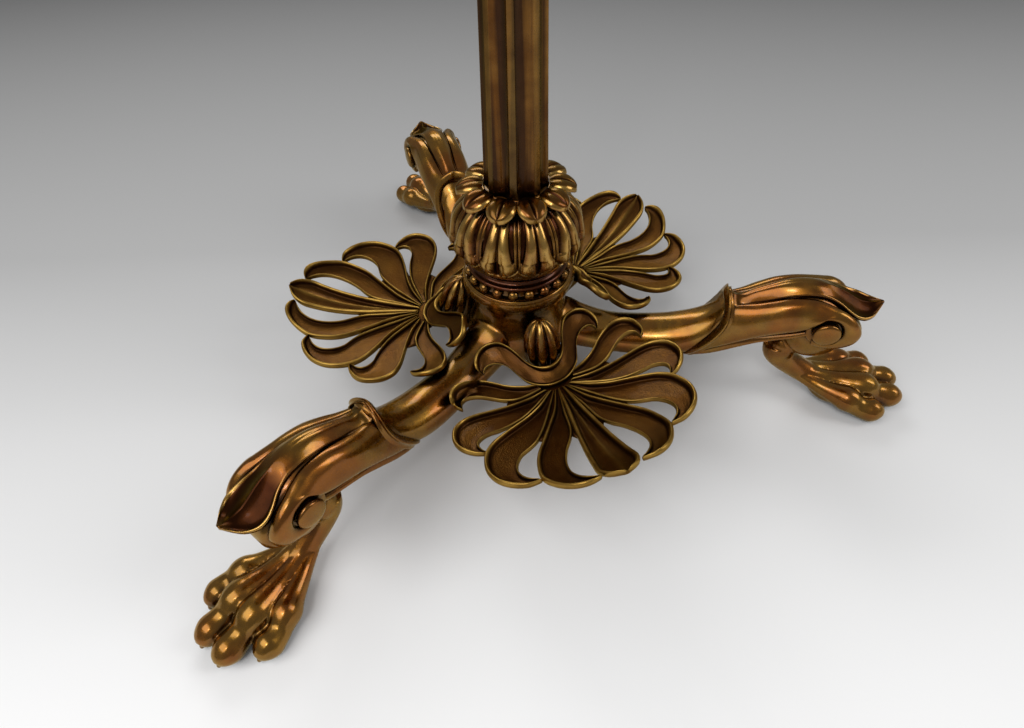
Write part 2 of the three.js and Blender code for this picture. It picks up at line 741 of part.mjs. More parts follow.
for (const [side, azimuth] of Object.entries(PALMETTES)) {
  place(`palmette_${side}`, palmette(side), darkBronze, azimuth);
  place(`bud_${side}`, bud(side), bronze, azimuth);
  place(`palmette_bracket_${side}`, bracket(side), darkBronze, azimuth);
  place(`palmette_screw_${side}`, screw(palmetteScrew(side)), steel, azimuth);
  place(`bud_screw_${side}`, screw(budScrew(side)), steel, azimuth);
}

export default stand;
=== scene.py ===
"""Tripod column stand in aged bronze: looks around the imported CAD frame. Metres, +Z up."""

import json
import math

import bmesh
import bpy
from mathutils import Matrix, Vector


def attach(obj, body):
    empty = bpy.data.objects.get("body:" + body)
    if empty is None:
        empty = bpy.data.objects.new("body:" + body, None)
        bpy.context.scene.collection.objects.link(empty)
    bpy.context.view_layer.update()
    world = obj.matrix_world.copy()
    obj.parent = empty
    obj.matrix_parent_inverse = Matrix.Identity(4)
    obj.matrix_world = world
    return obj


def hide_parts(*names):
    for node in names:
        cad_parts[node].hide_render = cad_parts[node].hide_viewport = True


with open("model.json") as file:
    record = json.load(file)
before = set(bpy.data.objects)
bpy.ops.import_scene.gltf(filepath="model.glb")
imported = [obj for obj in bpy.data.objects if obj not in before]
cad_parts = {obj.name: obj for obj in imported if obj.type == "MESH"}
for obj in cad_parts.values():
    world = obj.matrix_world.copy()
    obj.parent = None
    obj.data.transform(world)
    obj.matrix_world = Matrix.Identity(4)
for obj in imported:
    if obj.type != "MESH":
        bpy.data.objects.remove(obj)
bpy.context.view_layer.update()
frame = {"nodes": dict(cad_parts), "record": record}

MM = 0.001
AXIS_Y = -50.93
LEGS = {"back": 90, "left": 210, "right": 330}
PALMETTES = {"front": 270, "right": 30, "left": 150}

# Camera as fitted to the photograph, in millimetres from the column's axis on the floor.
# Its frame looks along +Y and is turned by TURN about the column.
TURN = -20.6
EYE = (-5.2, -296.0, 327.0)
PITCH = 48.1
ROLL = -1.73
FOCAL_PX = 611.0
PHOTO_WIDTH = 1024
SENSOR_WIDTH = 36


def set_camera():
    pitch = math.radians(PITCH)
    roll = math.radians(ROLL)
    forward = Vector((0, math.cos(pitch), -math.sin(pitch)))
    up = Vector((0, math.sin(pitch), math.cos(pitch)))
    right = Vector((1, 0, 0))
    across = math.cos(roll) * right + math.sin(roll) * up
    upright = -math.sin(roll) * right + math.cos(roll) * up
    turn = Matrix.Rotation(math.radians(TURN), 3, "Z")
    axes = Matrix([turn @ across, turn @ upright, turn @ -forward]).transposed()
    place = turn @ Vector(EYE) + Vector((0, AXIS_Y, 0))
    data = bpy.data.cameras.new("photo_camera")
    data.sensor_fit = "HORIZONTAL"
    data.sensor_width = SENSOR_WIDTH
    data.lens = FOCAL_PX / PHOTO_WIDTH * SENSOR_WIDTH
    data.clip_start = 0.01
    data.clip_end = 50
    camera = bpy.data.objects.new("photo_camera", data)
    bpy.context.scene.collection.objects.link(camera)
    camera.matrix_world = Matrix.Translation(place * MM) @ axes.to_4x4()
    bpy.context.scene.camera = camera


# Smooth curves and skins
SPAN_STEPS = 12


def through(t, a, b, c, d):
    """Value at share t between b and c, on a smooth curve through all four."""
    slope = c - a
    bend = 2 * a - 5 * b + 4 * c - d
    twist = 3 * b - a - 3 * c + d
    return 0.5 * (2 * b + slope * t + bend * t * t + twist * t ** 3)


def lerp(a, b, share):
    return a + (b - a) * share


def turns_of(count):
    return [2 * math.pi * k / count for k in range(count)]


def flow(points, count, place=2):
    """Even steps along a smooth curve; the first numbers of a point are its place, the rest go along."""
    last = len(points) - 1
    dense = []
    for i in range(last):
        four = [points[max(i - 1, 0)], points[i], points[i + 1], points[min(i + 2, last)]]
        for k in range(SPAN_STEPS):
            dense.append([through(k / SPAN_STEPS, *values) for values in zip(*four)])
    dense.append(list(points[-1]))
    walked = [0.0]
    for one, other in zip(dense, dense[1:]):
        walked.append(walked[-1] + math.dist(one[:place], other[:place]))
    steps = []
    k = 0
    for step in range(count):
        goal = walked[-1] * step / (count - 1)
        while k < len(walked) - 2 and walked[k + 1] < goal:
            k += 1
        width = walked[k + 1] - walked[k]
        share = (goal - walked[k]) / width if width else 0.0
        steps.append([lerp(a, b, share) for a, b in zip(dense[k], dense[k + 1])])
    return steps


def deselect():
    for item in bpy.context.selected_objects:
        item.select_set(False)


def activate(piece):
    deselect()
    piece.select_set(True)
    bpy.context.view_layer.objects.active = piece


def turn_outward(piece):
    shape = bmesh.new()
    shape.from_mesh(piece.data)
    bmesh.ops.recalc_face_normals(shape, faces=shape.faces)
    shape.to_mesh(piece.data)
    shape.free()


def skin(name, rings, rims=None, loop=False, heights=None):
    """A closed casting from a row of rings of points, capped at both ends or joined in a loop.

    Each point may carry its share of rim, from 1 where the rim is worn and painted with a highlight to -1
    where a crease is painted with shade, and its height over a plate.
    """
    count = len(rings[0])
    points = [tuple(point) for ring in rings for point in ring]
    faces = []
    for i in range(len(rings) - (0 if loop else 1)):
        after = (i + 1) % len(rings) * count
        for j in range(count):
            k = (j + 1) % count
            faces.append((i * count + j, i * count + k, after + k, after + j))
    if not loop:
        faces.append(tuple(range(count)))
        faces.append(tuple(range(len(points) - count, len(points))))
    mesh = bpy.data.meshes.new(name)
    mesh.from_pydata(points, [], faces)
    rim = mesh.attributes.new("rim", "FLOAT", "POINT")
    if rims:
        rim.data.foreach_set("value", [value for ring in rims for value in ring])
    if heights:
        height = mesh.attributes.new("height", "FLOAT", "POINT")
        height.data.foreach_set("value", [value for ring in heights for value in ring])
    piece = bpy.data.objects.new(name, mesh)
    bpy.context.scene.collection.objects.link(piece)
    turn_outward(piece)
    return piece


def modify(piece, kind, **settings):
    modifier = piece.modifiers.new(kind.lower(), kind)
    for key, value in settings.items():
        setattr(modifier, key, value)
    activate(piece)
    bpy.ops.object.modifier_apply(modifier=modifier.name)


def subdivide(piece, levels=1):
    modify(piece, "SUBSURF", levels=levels, render_levels=levels)


def join(name, pieces):
    activate(pieces[0])
    for piece in pieces:
        piece.select_set(True)
    bpy.ops.object.join()
    whole = bpy.context.object
    whole.name = name
    whole.data.name = name
    return whole


def fuse(piece, voxel, rounds):
    """Melts overlapping forms into one casting and softens the joins."""
    modify(piece, "REMESH", mode="VOXEL", voxel_size=voxel, adaptivity=0.0)
    modify(piece, "SMOOTH", factor=0.5, iterations=rounds)


def duplicate(piece):
    other = piece.copy()
    other.data = piece.data.copy()
    bpy.context.scene.collection.objects.link(other)
    return other


def mirror_copy(piece):
    """The same piece on the other side of the leg's mid-plane."""
    other = duplicate(piece)
    other.data.transform(Matrix.Scale(-1, 4, (0, 1, 0)))
    turn_outward(other)
    return other


def turned_ring(name, profile, segments=96):
    """Turned on a lathe: a circle drawn out and resized along the profile, closed on itself."""
    (radius, height), *others = profile
    deselect()
    bpy.ops.mesh.primitive_circle_add(vertices=segments, radius=radius, location=(0, 0, height))
    piece = bpy.context.object
    bpy.ops.object.transform_apply(location=True, rotation=False, scale=False)
    bpy.ops.object.mode_set(mode="EDIT")
    bpy.ops.mesh.select_all(action="SELECT")
    for next_radius, next_height in others:
        bpy.ops.mesh.extrude_region_move(TRANSFORM_OT_translate={"value": (0, 0, next_height - height)})
        share = next_radius / radius
        bpy.ops.transform.resize(value=(share, share, 1), center_override=(0, 0, next_height))
        radius, height = next_radius, next_height
    bpy.ops.mesh.select_all(action="SELECT")
    bpy.ops.mesh.remove_doubles(threshold=0.02)
    bpy.ops.object.mode_set(mode="OBJECT")
    piece.name = name
    piece.data.name = name
    turn_outward(piece)
    return piece


# Materials
def new_material(name):
    material = bpy.data.materials.new(name)
    material.use_nodes = True
    nodes = material.node_tree.nodes
    links = material.node_tree.links
    return material, nodes, links, nodes["Principled BSDF"]


def noise(nodes, links, coordinates, scale, detail=4.0):
    node = nodes.new("ShaderNodeTexNoise")
    node.inputs["Scale"].default_value = scale
    node.inputs["Detail"].default_value = detail
    links.new(coordinates, node.inputs["Vector"])
    return node.outputs["Fac"]


def ramp(nodes, links, value, stops):
    node = nodes.new("ShaderNodeValToRGB")
    elements = node.color_ramp.elements
    while len(elements) < len(stops):
        elements.new(0.5)
    for element, (position, colour) in zip(elements, stops):
        element.position = position
        element.color = (*colour, 1)
    links.new(value, node.inputs["Fac"])
    return node.outputs["Color"]


def mix(nodes, links, share, one, other):
    node = nodes.new("ShaderNodeMix")
    node.data_type = "RGBA"
    for socket, value in ((node.inputs[0], share), (node.inputs[6], one), (node.inputs[7], other)):
        if isinstance(value, bpy.types.NodeSocket):
            links.new(value, socket)
        elif isinstance(value, tuple):
            socket.default_value = (*value, 1)
        else:
            socket.default_value = value
    return node.outputs[2]


def span(nodes, links, value, low, high, to_low, to_high):
    node = nodes.new("ShaderNodeMapRange")
    node.inputs["From Min"].default_value = low
    node.inputs["From Max"].default_value = high
    node.inputs["To Min"].default_value = to_low
    node.inputs["To Max"].default_value = to_high
    links.new(value, node.inputs["Value"])
    return node.outputs["Result"]


def hollow_shade(nodes, links, distance, low, high):
    """1 well inside a hollow, where painted shade goes, 0 on open surfaces."""
    node = nodes.new("ShaderNodeAmbientOcclusion")
    node.inputs["Distance"].default_value = distance
    node.samples = 8
    return span(nodes, links, node.outputs["AO"], low, high, 1.0, 0.0)


def times(nodes, links, one, other):
    node = nodes.new("ShaderNodeMath")
    node.operation = "MULTIPLY"
    for socket, value in zip(node.inputs, (one, other)):
        if isinstance(value, bpy.types.NodeSocket):
            links.new(value, socket)
        else:
            socket.default_value = value
    return node.outputs["Value"]


def cast_bronze(name, warm, gold, dark_patina_and_shade, crease_shade, rubbed_and_highlight, roughness, wax, stipple=0.0, streaks=False):
    """Waxed cast bronze: cloudy warm and gold areas, dark patina and painted shade in hollows and creases,
    worn rims brightened with painted highlights.
    """
    material, nodes, links, shader = new_material(name)
    place = nodes.new("ShaderNodeTexCoord").outputs["Object"]
    tone = ramp(nodes, links, noise(nodes, links, place, 42.0, 2.0), [(0.4, warm), (0.58, gold)])
    if streaks:
        stretch = nodes.new("ShaderNodeMapping")
        stretch.inputs["Scale"].default_value = (170, 170, 4)
        links.new(place, stretch.inputs["Vector"])
        lines = noise(nodes, links, stretch.outputs["Vector"], 1.0, 5.0)
        tone = mix(nodes, links, span(nodes, links, lines, 0.44, 0.58, 0.85, 0.0), tone, dark_patina_and_shade)
    mottle = noise(nodes, links, place, 90.0, 6.0)
    tone = mix(nodes, links, span(nodes, links, mottle, 0.35, 0.75, 0.3, 0.0), tone, dark_patina_and_shade)
    # Hollows darkened towards the near-black brown by ambient occlusion: dark patina and painted shade
    tone = mix(nodes, links, hollow_shade(nodes, links, 0.011, 0.35, 0.92), tone, dark_patina_and_shade)
    rim = nodes.new("ShaderNodeAttribute")
    rim.attribute_name = "rim"
    # Rim below 0: painted shade in creases, grooves and hollows, mixed towards the dark crease colour
    tone = mix(nodes, links, span(nodes, links, rim.outputs["Fac"], -1.0, 0.0, 0.98, 0.0), tone, crease_shade)
    # Rim above 0: worn raised edges, brightened further as a painted highlight
    raised = span(nodes, links, rim.outputs["Fac"], 0.0, 1.0, 0.0, 1.0)
    wear_and_highlight = times(nodes, links, raised, span(nodes, links, mottle, 0.3, 0.65, 0.35, 0.85))
    tone = mix(nodes, links, wear_and_highlight, tone, rubbed_and_highlight)
    links.new(tone, shader.inputs["Base Color"])
    shader.inputs["Metallic"].default_value = 1.0
    grain = noise(nodes, links, place, 240.0, 5.0)
    dull = span(nodes, links, rim.outputs["Fac"], -1.0, 0.0, 1.15, 1.0)
    gloss = span(nodes, links, grain, 0.3, 0.7, roughness - 0.05, roughness + 0.09)
    links.new(times(nodes, links, gloss, dull), shader.inputs["Roughness"])
    shader.inputs["Specular Tint"].default_value = (1, 0.88, 0.55, 1)
    coat = span(nodes, links, rim.outputs["Fac"], -1.0, 0.0, 0.1 * wax, wax)
    links.new(coat, shader.inputs["Coat Weight"])
    shader.inputs["Coat Roughness"].default_value = 0.07
    # The grain of the casting, and a punched ground where it is asked for
    fine = nodes.new("ShaderNodeBump")
    fine.inputs["Strength"].default_value = 0.14
    fine.inputs["Distance"].default_value = 0.00012
    links.new(noise(nodes, links, place, 700.0, 3.0), fine.inputs["Height"])
    normal = fine.outputs["Normal"]
    if stipple:
        punched = nodes.new("ShaderNodeBump")
        punched.inputs["Distance"].default_value = 0.0002
        sunk = span(nodes, links, rim.outputs["Fac"], 0.0, 0.5, stipple, 0.0)
        links.new(sunk, punched.inputs["Strength"])
        links.new(noise(nodes, links, place, 1500.0, 0.0), punched.inputs["Height"])
        links.new(normal, punched.inputs["Normal"])
        normal = punched.outputs["Normal"]
    links.new(normal, shader.inputs["Normal"])
    return material


def turned_steel():
    material, nodes, links, shader = new_material("dulled_steel")
    place = nodes.new("ShaderNodeTexCoord").outputs["Object"]
    stops = [(0.3, (0.32, 0.3, 0.28)), (0.7, (0.5, 0.49, 0.47))]
    links.new(ramp(nodes, links, noise(nodes, links, place, 60.0), stops), shader.inputs["Base Color"])
    shader.inputs["Metallic"].default_value = 1.0
    gloss = span(nodes, links, noise(nodes, links, place, 300.0), 0.3, 0.7, 0.3, 0.5)
    links.new(gloss, shader.inputs["Roughness"])
    return material


# Near-black brown for painted shade in hollows, also for dark patina mottling and streaks
DARK_PATINA_AND_SHADE = (0.024, 0.01, 0.005)
# Dark red-brown for painted shade in creases, grooves and hollows
CREASE_SHADE = (0.026, 0.0065, 0.002)
bronze = cast_bronze(
    "aged_bronze", warm=(0.25, 0.084, 0.009), gold=(0.28, 0.136, 0.018), dark_patina_and_shade=DARK_PATINA_AND_SHADE, crease_shade=CREASE_SHADE,
    rubbed_and_highlight=(0.56, 0.35, 0.09), roughness=0.24, wax=0.35,
)
dark_bronze = cast_bronze(
    "dark_bronze", warm=(0.098, 0.037, 0.007), gold=(0.12, 0.05, 0.009), dark_patina_and_shade=DARK_PATINA_AND_SHADE,
    crease_shade=(0.026, 0.01, 0.004), rubbed_and_highlight=(0.46, 0.28, 0.06), roughness=0.35, wax=0.03, stipple=0.7,
)
column_bronze = cast_bronze(
    "streaked_bronze", warm=(0.14, 0.054, 0.009), gold=(0.22, 0.1, 0.02), dark_patina_and_shade=DARK_PATINA_AND_SHADE, crease_shade=CREASE_SHADE,
    rubbed_and_highlight=(0.4, 0.25, 0.06), roughness=0.26, wax=0.12, streaks=True,
)
# Darker, redder copy of the bronze for the hollow ring under the knop: red-brown tone with painted shade
under_knop_shaded_bronze = cast_bronze(
    "red_brown_bronze_with_painted_shade", warm=(0.085, 0.02, 0.006), gold=(0.12, 0.032, 0.008), dark_patina_and_shade=DARK_PATINA_AND_SHADE, crease_shade=CREASE_SHADE,
    rubbed_and_highlight=(0.4, 0.2, 0.06), roughness=0.26, wax=0.25,
)
steel = turned_steel()
finish_of = {"aged_bronze": bronze, "dark_bronze": dark_bronze, "steel": steel}

for part in frame["record"]["subparts"]:
    node = frame["nodes"][part["node"]]
    node.data.materials.clear()
    node.data.materials.append(finish_of[part["material_slot"]])


# Placing the finished pieces
def cast(piece, name, slot_name, nodes, azimuth=0, crease=None, finish=None):
    """Puts a copy of a finished piece in its place on the stand, for the CAD nodes that it replaces."""
    placed = bpy.data.objects.new(name, piece.data.copy())
    bpy.context.scene.collection.objects.link(placed)
    to_stand = Matrix.Translation((0, AXIS_Y * MM, 0)) @ Matrix.Rotation(math.radians(azimuth), 4, "Z")
    placed.data.transform(to_stand @ Matrix.Scale(MM, 4))
    placed.data.name = name
    placed.data.materials.clear()
    placed.data.materials.append(finish or finish_of[slot_name])
    placed.data.shade_smooth()
    if crease:
        activate(placed)
        bpy.ops.object.shade_smooth_by_angle(angle=math.radians(crease))
    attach(placed, "root")
    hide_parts(*nodes)
    return placed


def discard(piece):
    mesh = piece.data
    bpy.data.objects.remove(piece)
    bpy.data.meshes.remove(mesh)


def section(station, outline):
    """A ring of a leg: the outline holds shares of the half width and of the half height."""
    top_r, top_z, bottom_r, bottom_z, half = station
    ring = []
    for across, up in outline:
        share = (up + 1) / 2
        ring.append((lerp(bottom_r, top_r, share), across * half, lerp(bottom_z, top_z, share)))
    return ring


# Hub and arms, one casting
# Arm, from the hub out: top r and z, bottom r and z, half width
ARM = [
    (6, 58, 6, 31, 9),
    (28, 61, 28, 29.6, 16),
    (42, 55, 42, 28.4, 15.6),
    (54, 51.4, 55, 26.8, 14.8),
    (66, 50, 67, 25.6, 14.6),
    (91, 52.2, 93, 26.2, 15.4),
    (108, 57, 109, 30.4, 15.2),
    (119, 63.6, 120, 36.6, 13.8),
    (126.5, 71.6, 130, 45, 12.6),
    (130.5, 75.6, 136, 52, 11.6),
]
ARM_GROOVE = {"up": -0.66, "width": 0.09, "depth": 0.17}
# Hub: radius and height
HUB = [(23, 29.6), (29.6, 33), (33, 42), (32.6, 51), (30.6, 59), (28.9, 66), (28.8, 71.6), (31, 77.6)]


def arm_outline():
    sides = 40
    outline = []
    for k in range(sides):
        angle = 2 * math.pi * k / sides
        across, up = math.cos(angle), math.sin(angle)
        groove = 1 - ARM_GROOVE["depth"] * math.exp(-((up - ARM_GROOVE["up"]) / ARM_GROOVE["width"]) ** 2)
        outline.append((across * groove, up * groove))
    return outline


def make_spider():
    outline = arm_outline()
    rings = [section(station, outline) for station in flow(ARM, 44)]
    pieces = []
    for azimuth in LEGS.values():
        one = skin("arm", rings)
        one.data.transform(Matrix.Rotation(math.radians(azimuth), 4, "Z"))
        pieces.append(one)
    pieces.append(turned_ring("hub", [(0.01, 30), *flow(HUB, 24), (0.01, 77.6)]))
    whole = join("spider_casting", pieces)
    fuse(whole, voxel=0.85, rounds=11)
    cast(whole, "hub_and_arms", "aged_bronze", ["spider"])
    discard(whole)


# Knee castings
# Core, from the cuff out: top r and z, bottom r and z, half width
CORE = [
    (127, 74.4, 111.4, 32.4, 12.6),
    (131, 75.2, 115.6, 34.2, 12.8),
    (135, 76, 120.6, 37, 13),
    (139.5, 77, 127, 41.4, 13.2),
    (146, 79.2, 136.5, 48.6, 13.6),
    (154.5, 82.6, 147, 57, 14.2),
    (164, 86, 158, 62.5, 14.4),
    (174, 87.4, 170, 63, 14.4),
    (183.5, 86, 184, 60, 14.8),
    (190.5, 83, 191.5, 62, 13.5),
    (197, 79.6, 199, 68, 11.5),
    (203.5, 77.4, 205.5, 72.5, 8),
]
# Side band, from the cuff to the end of its volute: upper edge r, z, y; lower edge r, z, y; bulge
SIDE_BAND = [
    (129.4, 74.6, 6.6, 116.4, 38.8, 13, 3.8),
    (134, 75.8, 7, 123.2, 42.8, 13.5, 4.7),
    (142, 78.2, 7.6, 131.6, 47.6, 14, 5.6),
    (150.4, 81.8, 8.6, 140, 53, 14.6, 6.2),
    (159, 85.3, 9.5, 151, 59.2, 15.2, 6.3),
    (168, 87.1, 9.9, 162, 63.8, 16, 5.8),
    (176.6, 87.2, 10.6, 170, 67.2, 16.8, 5),
    (185.2, 85.2, 12.2, 176.4, 72, 17.6, 4.6),
    (193.6, 81.4, 13.4, 182, 78, 18, 4.2),
    (200.8, 75.8, 14.8, 189, 76.6, 18.2, 4),
    (204.8, 69, 16, 192.3, 70.3, 18.2, 3.8),
    (202.4, 61.4, 16, 190.4, 64.8, 18.2, 3.4),
    (194.6, 57.2, 16.2, 185.8, 61.9, 18.2, 2.6),
    (186, 56.4, 16.6, 181.2, 62.2, 18.2, 2),
    (178.4, 58.2, 17, 178, 64.3, 18.2, 1.4),
]
# Thin band along the lower edge of the knee
LOWER_BAND = [
    (112.6, 36.6, 13, 111.4, 32.4, 8, 0.4),
    (119.4, 39.2, 13.6, 117.6, 35.8, 9, 1.5),
    (129, 44.2, 14.2, 126, 40.6, 10.2, 2.1),
    (139.5, 50.8, 14.6, 137, 47, 11.4, 2.1),
    (150.5, 57.2, 15, 149, 53.6, 12.4, 2.1),
    (161.5, 61.6, 15.8, 161, 58, 13.4, 1.9),
    (170.5, 65.4, 17, 171.5, 61.4, 14.6, 1.5),
    (176.5, 69, 17.6, 178.5, 66, 16.2, 1),
]
# Middle leaf of the knee: keel r, z; half width; edge r, z; swell of its sides, hollow if negative;
# height of the rim
KNEE_LEAF = [
    (127.2, 81.8, 3.4, 127.4, 80.4, 0.1, 0),
    (129.2, 80.6, 6.4, 129.5, 77.8, 0.1, 0),
    (132, 78.6, 7, 132.3, 75, 0.1, 0),
    (136, 78.2, 5.8, 136, 75, 0.6, 0),
    (142, 81.6, 5.6, 142, 77.4, 1.4, 0),
    (150, 85.9, 6.6, 150, 81, 1.6, 0),
    (158, 89.6, 7.4, 158, 85, 1.6, 0),
    (166, 91.7, 7.8, 166, 87.6, 1.4, 0),
    (174, 92, 7.9, 174, 88.6, 1, 0.1),
    (181.5, 91.3, 8.2, 182, 87.6, 0.3, 0.3),
    (188, 89.3, 9.6, 189, 84.8, -0.8, 0.6),
    (194, 86.8, 12.2, 195, 81.2, -1.6, 0.9),
    (199.4, 83.7, 13.5, 200, 78.8, -2, 1),
    (204.1, 81.4, 12.9, 205, 77.8, -2, 1),
    (209.8, 80.5, 9.4, 210, 77.8, -1.6, 0.9),
    (213.4, 81, 4.9, 213.4, 79.4, -0.6, 0.5),
    (216, 81.8, 0.8, 216, 81.7, 0, 0),
]
# Cuff, a flat moulding round the arm, from the crest on top to the middle below:
# r, y, z; half width; height
CUFF = [
    (127.4, 0, 80.8, 1.5, 2),
    (128.2, 4, 79.4, 1.7, 2),
    (129, 7.6, 77, 2, 1.9),
    (129.7, 10.9, 73.2, 2.4, 1.8),
    (129.6, 13.4, 68.2, 2.7, 1.7),
    (128.2, 14.9, 62.2, 2.9, 1.6),
    (125.4, 15.6, 55.8, 3.1, 1.5),
    (121.4, 15.6, 49.2, 3.2, 1.4),
    (116.8, 14.8, 42.8, 3.2, 1.2),
    (112.6, 12.6, 36.9, 3.2, 1),
    (109.8, 9, 33, 3.2, 0.8),
    (108.2, 4.6, 30.8, 3.2, 0.6),
    (107.8, 0, 30.2, 3.2, 0.5),
]
# Across the cuff: share of its half width, share of its height; the ends go down by so many millimetres
CUFF_PROFILE = [
    (-1, -4), (-1, -0.9), (-0.97, 0.2), (-0.82, 0.85), (-0.6, 0.9), (-0.35, 0.5), (0, 0.4), (0.35, 0.6),
    (0.62, 1), (0.84, 0.95), (0.97, 0.2), (1, -0.9), (1, -4),
]
CUFF_AXIS = Vector((117, 0, 55))
VOLUTE = (184, 0, 70)
BEAK_ROLL = (194.4, 0, 63.6)


def squared(count, power):
    """Shares of a rounded square outline."""
    outline = []
    for k in range(count):
        angle = 2 * math.pi * k / count
        across, up = math.cos(angle), math.sin(angle)
        outline.append((
            math.copysign(abs(across) ** (2 / power), across),
            math.copysign(abs(up) ** (2 / power), up),
        ))
    return outline


def rolled_band(name, stations, count, steps=12):
    """A convex band along the side of the leg, thick enough to sink into the core."""
    sunk = 4
    rows = flow(stations, count)
    middles = [Vector(((r + s) / 2, (y + x) / 2, (z + w) / 2)) for r, z, y, s, w, x, _ in rows]
    rings = []
    for i, (r, z, y, s, w, x, bulge) in enumerate(rows):
        upper, lower = Vector((r, y, z)), Vector((s, x, w))
        along = middles[min(i + 1, count - 1)] - middles[max(i - 1, 0)]
        normal = along.cross(lower - upper).normalized()
        if normal.y < 0:
            normal = -normal
        ring = []
        for k in range(steps + 1):
            share = k / steps
            lift = bulge * (1 - abs(2 * share - 1) ** 2.6) ** 0.6
            ring.append(upper.lerp(lower, share) + normal * lift)
        ring += [lower - normal * sunk, upper - normal * sunk]
        rings.append(ring)
    piece = skin(name, rings)
    subdivide(piece)
    return piece


def knee_leaf():
    steps = 36
    keel_thickness, edge_thickness = 3.4, 1.6
    rings, rims = [], []
    for r, z, half, edge_r, edge_z, swell, rim in flow(KNEE_LEAF, 64):
        top, under, wear_highlight_and_shade = [], [], []
        for k in range(steps + 1):
            v = 2 * k / steps - 1
            side = abs(v)
            height = lerp(z, edge_z, side) + swell * math.sin(math.pi * side ** 0.9)
            height += rim * math.exp(-((side - 0.94) / 0.06) ** 2)
            place = (lerp(r, edge_r, side), v * half)
            top.append((*place, height))
            under.append((*place, height - lerp(keel_thickness, edge_thickness, side)))
            # Worn rim with painted highlight along the edges; painted shade over the hollow of the beak
            wear_highlight_and_shade.append(0.5 * rim if side > 0.88 else -min(1.0, max(0.0, (1.5 - swell) / 2.4)))
        rings.append(top + under[::-1])
        rims.append(wear_highlight_and_shade + [0] * len(under))
    return skin("knee_leaf", rings, rims)


def cuff():
    half = flow(CUFF, 30, 3)
    rows = half + [[r, -y, *rest] for r, y, *rest in half[-2:0:-1]]
    rings = []
    for i, (r, y, z, width, height) in enumerate(rows):
        place = Vector((r, y, z))
        along = (Vector(rows[(i + 1) % len(rows)][:3]) - Vector(rows[i - 1][:3])).normalized()
        out = place - CUFF_AXIS
        out = (out - along * out.dot(along)).normalized()
        across = out.cross(along).normalized()
        ring = []
        for share, lift in CUFF_PROFILE:
            raised = lift * height if lift > 0 else lift
            ring.append(place + across * (share * width) + out * raised)
        rings.append(ring)
    piece = skin("cuff", rings, loop=True)
    subdivide(piece)
    return piece


def bolster(name, place, radius, half, rounding=1.5):
    """A short round bar across the leg with rounded ends."""
    r, _, z = place
    corner = [
        (radius - rounding * (1 - math.sin(a)), half - rounding * (1 - math.cos(a)))
        for a in (math.radians(15 * k) for k in range(7))
    ]
    profile = [(0.01, -half)] + [(x, -y) for x, y in corner] + corner[::-1] + [(0.01, half)]
    piece = turned_ring(name, profile, 48)
    piece.data.transform(Matrix.Translation((r, 0, z)) @ Matrix.Rotation(math.radians(90), 4, "X"))
    return piece


def make_knees():
    core = skin("core", [section(station, squared(28, 2.8)) for station in flow(CORE, 36)])
    side = rolled_band("side_band", SIDE_BAND, 64)
    lower = rolled_band("lower_band", LOWER_BAND, 30, steps=6)
    pieces = [
        core,
        bolster("volute_core", VOLUTE, radius=11, half=18.1),
        bolster("beak_roll", BEAK_ROLL, radius=12.9, half=14, rounding=4),
        side,
        mirror_copy(side),
        lower,
        mirror_copy(lower),
        lump("crest", place=(129.2, 0, 76), radii=(3, 8.4, 4)),
        knee_leaf(),
        cuff(),
    ]
    whole = join("knee", pieces)
    for leg, azimuth in LEGS.items():
        cast(whole, f"knee_casting_{leg}", "aged_bronze", [f"knee_{leg}"], azimuth)
    discard(whole)


# Button: radius, distance from the leg's mid-plane
BUTTON = [(0.01, 17), (7.6, 17), (7.9, 20.6), (7.7, 21.6), (6.9, 22.2), (5.4, 22.6), (3, 22.9), (0.01, 23)]


def make_buttons():
    for sign, number in ((1, 1), (-1, 2)):
        button = turned_ring("button", BUTTON, 48)
        sideways = Matrix.Rotation(math.radians(-90 * sign), 4, "X")
        button.data.transform(Matrix.Translation(VOLUTE) @ sideways)
        subdivide(button)
        for leg, azimuth in LEGS.items():
            place = f"{leg}_{number}"
            cast(button, f"round_button_{place}", "aged_bronze", [f"volute_button_{place}"], azimuth)
        discard(button)


# Lion paws
# Limbs: r, y, z, radius
MIDDLE_TOE = [
    (186, 1.6, 21, 4), (194, 2.6, 18.2, 4.5), (202, 3.5, 16.4, 5), (211, 4.5, 15.4, 6), (220, 5.7, 14.8, 8),
    (228, 6.6, 14.2, 9.2), (235.6, 7.1, 10.8, 7.3), (240.6, 7.3, 9.4, 7.5), (246, 7.4, 8.4, 8.3),
    (251, 7.4, 7, 6.3), (253.5, 7.4, 6, 3.5),
]
OUTER_TOE = [
    (187, 4, 18, 4), (195, 7.2, 15.4, 4.6), (203, 10.8, 13.6, 5.5), (210.4, 14, 12.6, 6.7),
    (217, 17.1, 12, 8.4), (223.4, 19.4, 9.4, 7), (227.6, 20.6, 8.4, 7.2), (232.4, 21.1, 7.7, 8),
    (236.8, 21.2, 6.8, 6.2), (239.6, 21.2, 5.8, 3.4),
]
SHANK = [
    (168.5, 0, 41, 9.2), (169.5, 0, 34, 8.8), (175, 0, 28, 8.3), (183, 0, 22, 7.8), (193, 0, 15.8, 7.6),
    (204, 0, 11.4, 7), (214, 0, 8.4, 6), (224, 0, 7, 5),
]
# Claws: r and y of the toes' tips, then r from the tip, z and radius along a claw
TOE_TIPS = [(252.8, 7.4), (252.8, -7.4), (238.8, 21.2), (238.8, -21.2)]
CLAW = [(-4, 6, 2.4), (-0.6, 4.8, 2.1), (1.2, 3, 1.4), (1.7, 1.6, 0.5)]


